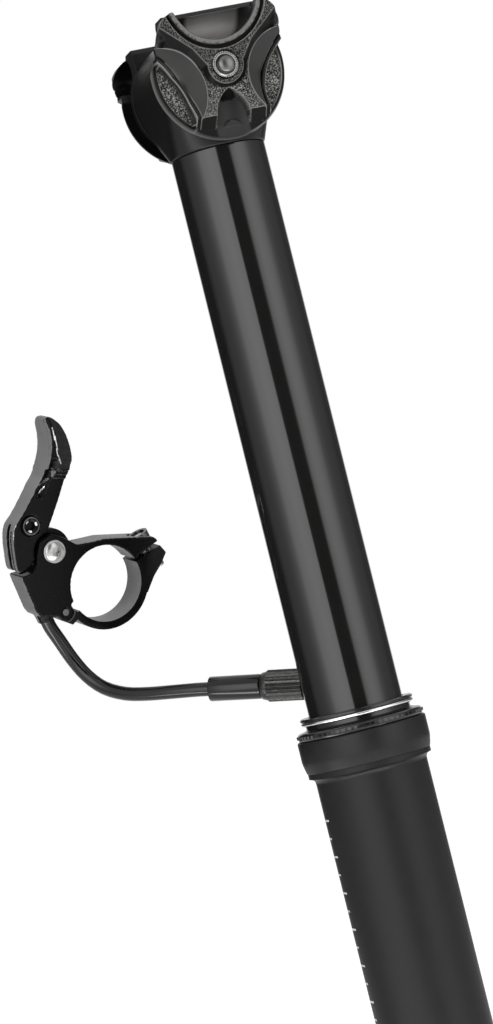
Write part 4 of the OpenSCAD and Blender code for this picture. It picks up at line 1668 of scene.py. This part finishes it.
    def mesh(self, name: str, side: Side, bolt_z: float) -> Mesh:
        """Make one cheek.

        Args:
            name: Name of the mesh.
            side: Side of the clamp.
            bolt_z: Height of the bolt, in mm.

        Returns:
            The mesh, in metres.
        """
        places, faces = self.cells()
        form = bmesh.new()
        marks = [form.verts.layers.float.new(mark.value) for mark in (Mark.TONE, Mark.PITS, Mark.EDGE)]
        used = sorted({k for face in faces for k in face})
        tops: Verts = {}
        feet: Verts = {}
        for k in used:
            u, v = places[k]
            spot = self.front(u, v)
            grain = noise.noise(Vector((u * self.grain_scale, v * self.grain_scale, 0.0)) + SEED)
            grain = self.grain * spot.pits * grain
            tops[k] = form.verts.new((u, side.value * (spot.high + grain), v))
            # The marks paint light and shade by region and highlights along the edges
            for layer, value in zip(marks, (spot.tone, spot.pits, self.edge(u, v))):
                tops[k][layer] = value
            feet[k] = form.verts.new((u, side.value * self.back(v), v))
        sides: dict[frozenset[int], tuple[int, int]] = {}
        for a, b, c in faces:
            form.faces.new((tops[a], tops[b], tops[c]))
            form.faces.new((feet[c], feet[b], feet[a]))
            for x, y in ((a, b), (b, c), (c, a)):
                key = frozenset((x, y))
                if key in sides:
                    del sides[key]
                else:
                    sides[key] = (x, y)
        self._walls(form, places, sides, tops, feet, side)
        bmesh.ops.recalc_face_normals(form, faces=form.faces[:])
        return finished(name, form, Matrix.Translation((0, 0, bolt_z)), 30)

    def _walls(self, form: Form, places: Sequence[Vector], sides: dict[frozenset[int], tuple[int, int]],
               tops: Verts, feet: Verts, side: Side) -> None:
        """Close the cheek's edge, with a foot that stands out at the round part.

        Args:
            form: The cheek's form.
            places: Places in the plan.
            sides: Edges of the plan that have one triangle.
            tops: Corners of the front, by place.
            feet: Corners of the back.
            side: Side of the clamp.
        """
        belts: Verts = {}
        layer = form.verts.layers.float[Mark.EDGE.value]

        def belt(k: int) -> bmesh.types.BMVert:
            """Make the wall's corner between front and back, or return the one already made.

            Args:
                k: The place.

            Returns:
                The corner.
            """
            if k not in belts:
                u, v = places[k]
                r = math.hypot(u, v)
                grow = (self.foot_r - self.rim_r) * ramp(self.round_v - v, 0.0, 3.0) if r > 10 else 0.0
                scale = (r + grow) / r
                mid = self.back(v) + self.foot_high
                belts[k] = form.verts.new((u * scale, side.value * mid, v * scale))
                # The foot's belt gets a painted highlight where it stands out
                belts[k][layer] = 0.5 * ramp(grow, 0.0, 0.4)
                feet[k].co = (u * scale, feet[k].co.y, v * scale)
            return belts[k]

        for x, y in sides.values():
            form.faces.new((tops[x], belt(x), belt(y), tops[y]))
            form.faces.new((belt(x), feet[x], feet[y], belt(y)))


@dataclass
class SaddleClamp:
    """Head, cradles, cheeks and the clamp bolt."""

    bolt_z: float = 191.7
    web: float = 24.2
    bolt_r: float = 2.5
    insert_r: float = 3.6
    cheek_in: float = 16.5
    rail_y: float = 22.0
    rail_up: float = 11.4
    rail_r: float = 3.5
    rail_gap: float = 0.25
    ridges: int = 34
    ridge: float = 0.4
    far_hole_r: float = 2.62
    far_recess: float = 20.6
    bore_r: float = 2.55
    dome_r: float = 2.35
    dome_high: float = 1.1

    # Width of the cradles' broken edges
    cradle_edges: Sequence[tuple[str, float]] = (("near_cradle", 0.25), ("far_cradle", 1.6))

    def axis(self) -> Matrix:
        """Frame of the clamp bolt, whose Z axis runs to the near side."""
        return along((0, 0, self.bolt_z), (0, -1, 0))

    def cheeks(self) -> None:
        """Forge the two cheeks."""
        far = Relief(hole_r=self.far_hole_r, recess=self.far_recess)
        for name, relief, side, body, node in (("cheek_near", Relief(), Side.NEAR, Body.NEAR, "near_cheek"),
                                               ("cheek_far", far, Side.FAR, Body.FAR, "far_cheek")):
            made = linked(name, relief.mesh(name, side, self.bolt_z))
            settled(painted(made, FORGED), body, "forged_black", node)

    def head(self) -> None:
        """Cast the head and machine the cradles."""
        cast = remeshed("cast_head", "head", voxel=0.35, rounds=6, keep=0.5)
        settled(painted(cast, HEAD), Body.UPPER, "forged_black", "head")
        for node, wide in self.cradle_edges:
            made = painted(softened("rail_" + node, node, wide, turns=4), HEAD, CRADLE)
            for face in made.data.polygons:
                _, y, z = face.center / MM
                away = math.hypot(abs(y) - self.rail_y, z - self.bolt_z - self.rail_up)
                # Faces in the rail groove take the cradle finish, with its painted patch of light
                face.material_index = int(away < self.rail_r + self.rail_gap)
            settled(made, Body.CRADLE, "cradle_grey", node)

    def insert(self) -> None:
        """Turn the knurled insert round the bolt's domed end."""
        low, high, r, bore = self.cheek_in + 0.5, self.web + 1.3, self.insert_r - 0.2, self.bore_r
        profile = [(bore, low), (r, low), (r, high - 0.4), (r - 0.35, high), (2.75, high), (bore, high - 0.2)]
        made = turned("knurled_insert", profile, self.axis(), steps=96)
        long = high - low - 0.1
        knurled(made, INSERT, self.axis(), self.ridges, r - 0.05, (self.ridge, self.ridge, long), low + long / 2)
        settled(made, Body.NEAR, "bolt_steel", "clamp_insert")

    def bolt(self) -> None:
        """Turn the clamp bolt, domed at the near end and socketed at the far one."""
        tip, r, wide, tall = self.web + 3.2, self.bolt_r, self.dome_r, self.dome_high
        turns = [math.radians(90 - 9 * k) for k in range(10)]
        dome = [(wide * math.sin(a), tip - tall + tall * math.cos(a)) for a in turns]
        head, seat = -(self.web + 2.2), -(self.web - 2.8)
        profile = [(0, head + 2.9), (1.9, head + 2.9), (2.3, head), (r + 1.35, head), (r + 1.75, head + 0.4),
                   (r + 1.75, seat), (r, seat), (r, tip - 1.6), (wide, tip - 1.4), *dome, (0, tip)]
        made = turned("domed_bolt", profile, self.axis(), steps=96)
        settled(painted(made, BOLT), body_of("clamp_bolt"), "bolt_steel", "clamp_bolt")

    def build(self) -> None:
        """Make the saddle clamp."""
        self.cheeks()
        self.head()
        self.insert()
        self.bolt()


# Remote lever


@dataclass
class RemoteLever:
    """Lever, clamp and band, with black faces and flanks painted light grey where light falls on them."""

    seat: Sequence[float] = (-63.2, 65.5, 61.5)
    turn: Sequence[float] = (14.4, 8.6, 11.5)
    seat_u: float = -16.7
    seat_v: float = -10.0
    half_wide: float = 4.8
    bar_r: float = 11.1
    blade_half: float = 4.2
    pivot_u: float = -16.4
    pivot_v: float = 10.2
    pivot_r: float = 3.35
    screw_u: float = -23.2
    screw_v: float = 17.8
    screw_r: float = 2.85
    cell: float = 0.25
    clamp_cell: float = 0.3
    band_edge: float = 0.3

    # Painted shade among the clamp's flanks: its split and the step under the lever are painted black
    split: Point2 = (6.5, 12.0)
    split_gap: float = 0.4
    step_u: Point2 = (-26.5, -12.0)
    step_v: Point2 = (3.2, 16.5)
    clamp_lean: float = 0.35

    # Height up the thumb pad and its two edges there
    pad: Sequence[tuple[float, float, float]] = (
        (17.4, -28.2, -17.4), (20.8, -25.9, -16.2), (25.0, -23.4, -14.6), (29.2, -21.0, -13.2), (33.0, -18.8, -11.85),
        (36.6, -17.6, -11.1), (41.0, -17.3, -12.0), (45.2, -17.9, -13.9), (48.6, -18.5, -16.4))

    # Foot of the pad: its height at a place along the clamp, and its fall
    foot_u: float = -22.5
    foot_v: float = 33.9
    foot_fall: float = 0.0743

    # Ridges, by height over the foot, with painted highlights along their crests
    ridges: Sequence[float] = (-0.1, -1.2, -2.3)
    ridge_u: float = -16.2
    ridge_half: float = 0.13
    ridge_step: float = 0.43
    ridge_fade: Point2 = (-16.6, -16.0)

    # Painted highlights on the near face: lines, a gleam in the hollow and a line on the outer corner, and half their
    # widths
    crest: Sequence[Point2] = ((-17.1, 45.7), (-15.8, 40.7), (-15.6, 38.4), (-14.4, 35.4))
    crest_half: float = 0.16
    rim: Sequence[Point2] = ((-18.6, 28.7), (-21.0, 26.2))
    rim_half: float = 0.13
    gleam: Sequence[Point2] = ((-17.6, 30.8), (-20.2, 29.3))
    gleam_half: float = 0.3
    glint_u: float = -26.4
    glint_v: Point2 = (14.2, 18.5)
    glint_y: float = -3.95
    glint_lean: Point2 = (0.4, 0.8)
    skin_y: float = -1.5
    face_lean: float = 0.5
    grip_from: float = 0.36

    # Hollow beside the pad, and the dip in its floor
    hollow: Sequence[Point2] = ((-20.9, 26.4), (-17.4, 34.2))
    hollow_r: float = 2.8
    hollow_across: Point2 = (0.05, 0.9)
    hollow_top: float = 36.0
    dip: Sequence[Point2] = ((-20.1, 27.0), (-17.6, 32.0), (-16.2, 35.4))
    dip_r: float = 1.3
    dip_deep: float = 1.5

    # Swell of the far face, and crown and bulge of the pad, with where they grow
    edge_y: float = 3.4
    swell: float = 1.3
    swell_v: Point2 = (24.0, 36.0)
    crown: float = 0.9
    crown_across: Point2 = (0.4, 1.0)
    crown_foot: Point2 = (0.4, 1.6)
    fall: float = 0.5
    fall_across: float = 0.28
    fall_foot: Point2 = (2.0, 4.0)
    bulge: float = 0.55
    bulge_across: Point2 = (0.5, 1.0)
    bulge_v: Point2 = (33.4, 36.0)
    bulge_end: float = 2.0

    # Start and length of the rounded tip on either face
    tip_near: Point2 = (44.0, 6.5)
    tip_far: Point2 = (43.0, 5.8)
    tip_least: float = 0.08

    # Groove along the outer flank, whose inside is painted black as shade
    groove_u: float = -26.7
    groove_v: float = 16.2
    groove_y: float = -2.25
    groove_half: float = 0.4
    groove_deep: float = 0.55
    groove_shade: Point2 = (-2.6, -1.9)
    groove_shade_v: float = 15.8

    def place(self) -> Matrix:
        """Frame of the lever, whose Y axis is the pivot's."""
        x, y, z = (Matrix.Rotation(math.radians(a), 4, axis) for a, axis in zip(self.turn, "XYZ"))
        return Matrix.Translation(self.seat) @ z @ y @ x @ Matrix.Translation((-self.seat_u, 0, -self.seat_v))

    def bore(self, u: float, v: float) -> Matrix:
        """Frame of a screw of the lever, whose Z axis runs to the near side."""
        return self.place() @ Matrix.Translation((u, 0, v)) @ Matrix.Rotation(math.pi / 2, 4, "X")

    def flanks(self, piece: Piece, look: Callable[[Vector, Vector], Look]) -> Piece:
        """Give each face of a piece its finish.

        Args:
            piece: The piece.
            look: Material slot of a face, from its place and its normal in the lever's frame.

        Returns:
            The same piece.
        """
        painted(piece, LEVER, LIT_FLANK, GLINT, SHINE, GRIP)
        back = self.place().inverted()
        spin = back.to_3x3()
        for face in piece.data.polygons:
            face.material_index = look(back @ (face.center / MM), spin @ face.normal)
        return piece

    def clamp_look(self, spot: Vector, way: Vector) -> Look:
        """Choose the slot on the clamp: flanks painted light grey as lit, but its split and the step under the lever
        painted black as shade.

        Args:
            spot: Place of the face, in the lever's frame.
            way: Its normal there.

        Returns:
            The slot.
        """
        u, _, v = spot
        split = u > self.split[0] and v < self.split[1] and math.hypot(u, v) > self.bar_r + self.split_gap
        step = self.step_u[0] < u < self.step_u[1] and self.step_v[0] < v < self.step_v[1]
        return Look.LIT_FLANK if abs(way.y) < self.clamp_lean and not split and not step else Look.BLACK

    def blade_look(self, spot: Vector, way: Vector) -> Look:
        """Choose the slot on the lever: its painted highlight lines, painted gleam in the hollow, painted highlights
        on the ridges, grip and outer flank.

        Args:
            spot: Place of the face, in the lever's frame.
            way: Its normal there.

        Returns:
            The slot.
        """
        u, y, v = spot
        foot, lean = self.foot(u, v), abs(way.y)
        if y < self.skin_y:
            # Painted highlights, and a painted reflection in the hollow
            if apart(u, v, self.crest) < self.crest_half or apart(u, v, self.rim) < self.rim_half:
                return Look.SHINE
            ridge = u > self.ridge_u and any(abs(foot - k) < self.ridge_half for k in self.ridges)
            if apart(u, v, self.gleam) < self.gleam_half or ridge:
                return Look.GLINT
            if lean > self.face_lean and foot > 0.5 and self.across(u, v) > self.grip_from:
                return Look.GRIP
            # A painted highlight line along the outer corner of the near face
            corner = self.glint_lean[0] < lean < self.glint_lean[1] and way.x < 0
            if corner and y < self.glint_y and v < self.glint_v[1] and u < self.glint_u:
                return Look.SHINE if v > self.glint_v[0] else Look.GLINT
        # The groove's inside is painted black as shade
        groove = self.groove_shade[0] < y < self.groove_shade[1] and v < self.groove_shade_v
        # Only flanks facing the lit side are painted light grey
        return Look.LIT_FLANK if lean < self.face_lean and way.x < -0.25 and not groove else Look.BLACK

    def foot(self, u: float, v: float) -> float:
        """Height above the foot of the thumb pad, in mm."""
        return v - self.foot_v + self.foot_fall * (u - self.foot_u)

    def across(self, u: float, v: float) -> float:
        """Measure the way across the thumb pad.

        Args:
            u: Place along the clamp, in mm.
            v: Place up the lever.

        Returns:
            Share of the way from its outer edge, or -1 beyond the pad.
        """
        for (low, a, b), (high, c, d) in zip(self.pad, self.pad[1:]):
            if low <= v <= high:
                k = (v - low) / (high - low)
                return (u - mix(a, c, k)) / (mix(b, d, k) - mix(a, c, k))
        return -1.0

    def _far(self, y: float, v: float, foot: float) -> float:
        """Swell the lever's far face up to the pad, and round the tip.

        Args:
            y: Place along the pivot's axis, in mm.
            v: Place up the lever.
            foot: Height above the pad's foot.

        Returns:
            The new place along the axis.
        """
        start, deep = self.tip_far
        share = ramp(v, *self.swell_v)
        eased = self.blade_half + self.swell * share ** 2 * (3 - 2 * share)
        if y > self.edge_y + 0.5 and abs(foot) < 0.5:
            y = eased
        elif y > self.edge_y:
            y += eased - self.blade_half - (self.swell if foot > 0 else 0.0)
        return y * math.sqrt(max(self.tip_least, 1 - (max(v - start, 0) / deep) ** 2))

    def _near(self, u: float, y: float, v: float) -> float:
        """Crown the pad on the near face, step its ridges, press its hollow and round the tip.

        Args:
            u: Place along the clamp, in mm.
            y: Place along the pivot's axis.
            v: Place up the lever.

        Returns:
            The new place along the axis.
        """
        start, deep = self.tip_near
        left, right = self.hollow_across
        foot, high, share = self.foot(u, v), -y, self.across(u, v)
        if foot < 0.2 and left < share < right and apart(u, v, self.hollow) < self.hollow_r and v < self.hollow_top:
            y = -self.blade_half
        if high > self.edge_y:
            steps = sum(self.ridge_step for k in self.ridges[1:] if k < foot < self.ridges[0] and high < 4.7)
            y -= steps * ramp(u, *self.ridge_fade)
            y += self.crown * ramp(share, *self.crown_across) ** 1.4 * ramp(foot, *self.crown_foot)
            y += self.fall * ramp(self.fall_across - share, 0, self.fall_across) * ramp(foot, *self.fall_foot)
        if share > left:
            y += self.dip_deep * max(0.0, 1 - (apart(u, v, self.dip) / self.dip_r) ** 2)
        return y * math.sqrt(1 - (max(v - start, 0) / deep) ** 2)

    def pressed(self, u: float, y: float, v: float) -> Vector:
        """Move a point of the lever to its shape.

        Args:
            u: Place along the clamp, in mm.
            y: Place along the pivot's axis.
            v: Place up the lever.

        Returns:
            The new place.
        """
        share = self.across(u, v)
        if y > 0:
            y = self._far(y, v, self.foot(u, v))
        elif y < -1.2:
            y = self._near(u, y, v)
        end = self.pad[-1][0]
        u += self.bulge * ramp(share, *self.bulge_across) * ramp(v, *self.bulge_v) * ramp(end - v, 0, self.bulge_end)
        if u < self.groove_u and v < self.groove_v:
            u += self.groove_deep * max(0.0, 1 - abs(y - self.groove_y) / self.groove_half)
        return Vector((u, y, v))

    def shaped(self, piece: Piece, move: Callable[[float, float, float], Vector],
               soft: Callable[[float, float, float], bool], rounds: int, axes: tuple[bool, bool, bool]) -> Piece:
        """Move the points of a piece in the lever's frame and ease some of them.

        Args:
            piece: The piece, with small faces.
            move: New place of a point.
            soft: True where the points are eased.
            rounds: Rounds of easing.
            axes: Axes along which it works.

        Returns:
            The same piece.
        """
        place, form = self.place(), bmesh.new()
        form.from_mesh(piece.data)
        bmesh.ops.transform(form, matrix=place.inverted() @ Matrix.Scale(1 / MM, 4), verts=form.verts)
        chosen = [vert for vert in form.verts if soft(*vert.co)]
        for vert in form.verts:
            vert.co = move(*vert.co)
        x, y, z = axes
        for _ in range(rounds):
            bmesh.ops.smooth_vert(form, verts=chosen, factor=0.5, use_axis_x=x, use_axis_y=y, use_axis_z=z)
        bmesh.ops.transform(form, matrix=Matrix.Scale(MM, 4) @ place, verts=form.verts)
        form.to_mesh(piece.data)
        form.free()
        smooth(piece.data, 50)
        return piece

    def blade(self) -> None:
        """Shape the thumb lever: rounded tip, crowned pad, ridges at its foot and a hollow beside them."""
        def soft(u: float, y: float, v: float) -> bool:
            """Whether a point lies in the hollow's round edge, clear of the ridges."""
            return y < -0.5 and apart(u, v, self.hollow) < 3.0 and not (u > -16.4 and self.foot(u, v) < 0.3)

        cast = remeshed("thumb_blade", "lever_blade", voxel=self.cell, rounds=6, keep=1.0)
        piece = self.shaped(cast, self.pressed, soft, rounds=10, axes=(True, True, True))
        settled(self.flanks(piece, self.blade_look), body_of("lever_blade"), "lever_black", "lever_blade")

    def clamp(self) -> None:
        """Ease the bends of the clamp's arm and keep its faces flat."""
        def soft(u: float, _: float, v: float) -> bool:
            """Whether a point lies on the arm."""
            return v > 9.6 and u > -14 and math.hypot(u, v) > self.bar_r + 0.5

        def kept(u: float, y: float, v: float) -> Vector:
            """The same point."""
            return Vector((u, y, v))

        cast = remeshed("lever_body", "lever_clamp", voxel=self.clamp_cell, rounds=3, keep=1.0)
        piece = self.shaped(cast, kept, soft, rounds=24, axes=(True, False, True))
        settled(self.flanks(piece, self.clamp_look), body_of("lever_clamp"), "lever_black", "lever_clamp")

    def pivot(self) -> None:
        """Turn the pivot bolt's domed head and cut its star socket."""
        place = self.bore(self.pivot_u, self.pivot_v)
        wide, r, top = self.half_wide, self.pivot_r, self.half_wide + 1.3
        profile = [(0, -wide), (1.6, -wide), (1.6, wide), (r - 0.15, wide), (r, wide + 0.15), (r, wide + 0.6),
                   (r - 0.15, wide + 0.8), (r - 0.55, wide + 0.8), (r - 0.75, wide + 0.95), (r - 1.4, wide + 1.2),
                   (1.2, top), (0, top)]
        made = turned("pivot_head", profile, place, steps=96)
        carve(made, prism("socket", [(1.4 - 0.4 * (k % 2)) for k in range(12)], place, top - 1.1, top + 0.4))
        smooth(made.data, 30)
        settled(painted(made, PIVOT), body_of("pivot_bolt"), "bright_steel", "pivot_bolt")

    def screw(self) -> None:
        """Turn the anchor screw with a painted highlight round its rim and painted glints at its socket, and cut its
        hex socket.
        """
        place = self.bore(self.screw_u, self.screw_v)
        r, top = self.screw_r, self.blade_half + 0.4
        profile = [(0, 1.0), (r, 1.0), (r, top - 0.35), (r - 0.1, top - 0.1), (r - 0.35, top), (r - 0.6, top),
                   (r - 0.75, top - 0.2), (1.9, top - 0.2), (1.35, top - 0.5), (0, top - 0.5)]
        made = turned("anchor_head", profile, place, steps=96)
        carve(made, prism("socket", [1.4] * 6, place, top - 1.6, top + 0.4))
        smooth(made.data, 30)
        slots = (LEVER, GLINT, SHINE)
        painted(made, *slots)
        back = place.inverted()
        for face in made.data.polygons:
            x, y, z = back @ (face.center / MM)
            out = math.hypot(x, y)
            # Painted glints on sectors of the socket's mouth, and a painted highlight ring near the rim
            edge_glint = 1.3 < out < 1.8 and math.sin(3 * math.atan2(y, x) + 0.6) > 0.55 and z > top - 0.6
            bright = r - 0.6 < out < r - 0.3 and z > top - 0.06
            face.material_index = slots.index(SHINE if edge_glint else GLINT if bright else LEVER)
        settled(made, body_of("anchor_screw"), "screw_black", "anchor_screw")

    def build(self) -> None:
        """Make the remote lever."""
        self.pivot()
        self.screw()
        self.blade()
        self.clamp()
        band = self.flanks(softened("hinged_band", "clamp_band", self.band_edge, turns=3), self.clamp_look)
        settled(band, body_of("clamp_band"), "lever_black", "clamp_band")


# Other pieces


@dataclass
class Others:
    """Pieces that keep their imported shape, by finish."""

    groups: Sequence[tuple[Finish, Sequence[str]]] = (
        (TUBE, ("lower_tube", "base_cap")),
        (RUBBER, ("base_cap_seal", "rod_seal", "piston_seal")),
        (BUMPER, ("top_out_bumper",)),
        (BUSH, ("upper_bush", "lower_bush")),
        (BRASS, ("fill_valve", "guide_keys", "pivot_bush")),
        (ALLOY, ("gas_cylinder", "cylinder_gland", "piston", "plate_springs", "lever_spring")),
        (STEEL, ("band_bolt", "crank_pin", "wire_nipple")),
        (BOLT, ("band_pin", "band_insert", "bolt_washer", "release_crank", "hold_plate", "lock_plate", "piston_rod",
                "rod_nut", "cover_screws")),
        (HOUSING, ("actuator_housing", "actuator_cover")),
        (SCREW, ("adjuster_stud",)),
    )

    def build(self) -> None:
        """Dress every node that no new piece stands for."""
        for finish, nodes in self.groups:
            for node in nodes:
                painted(frame["nodes"][node], finish)
                LOG.info("%s keeps its shape in %s", node, finish.name)


def main() -> None:
    """Build the sub-assemblies in order and report each piece."""
    logging.basicConfig(level=logging.INFO, format="%(message)s")
    makers: Sequence[Callable[[], None]] = (Studio().build, CableEnd().build, Post().build, SaddleClamp().build,
                                            RemoteLever().build, Others().build)
    for make in makers:
        make()


if __name__ == "__main__":
    main()
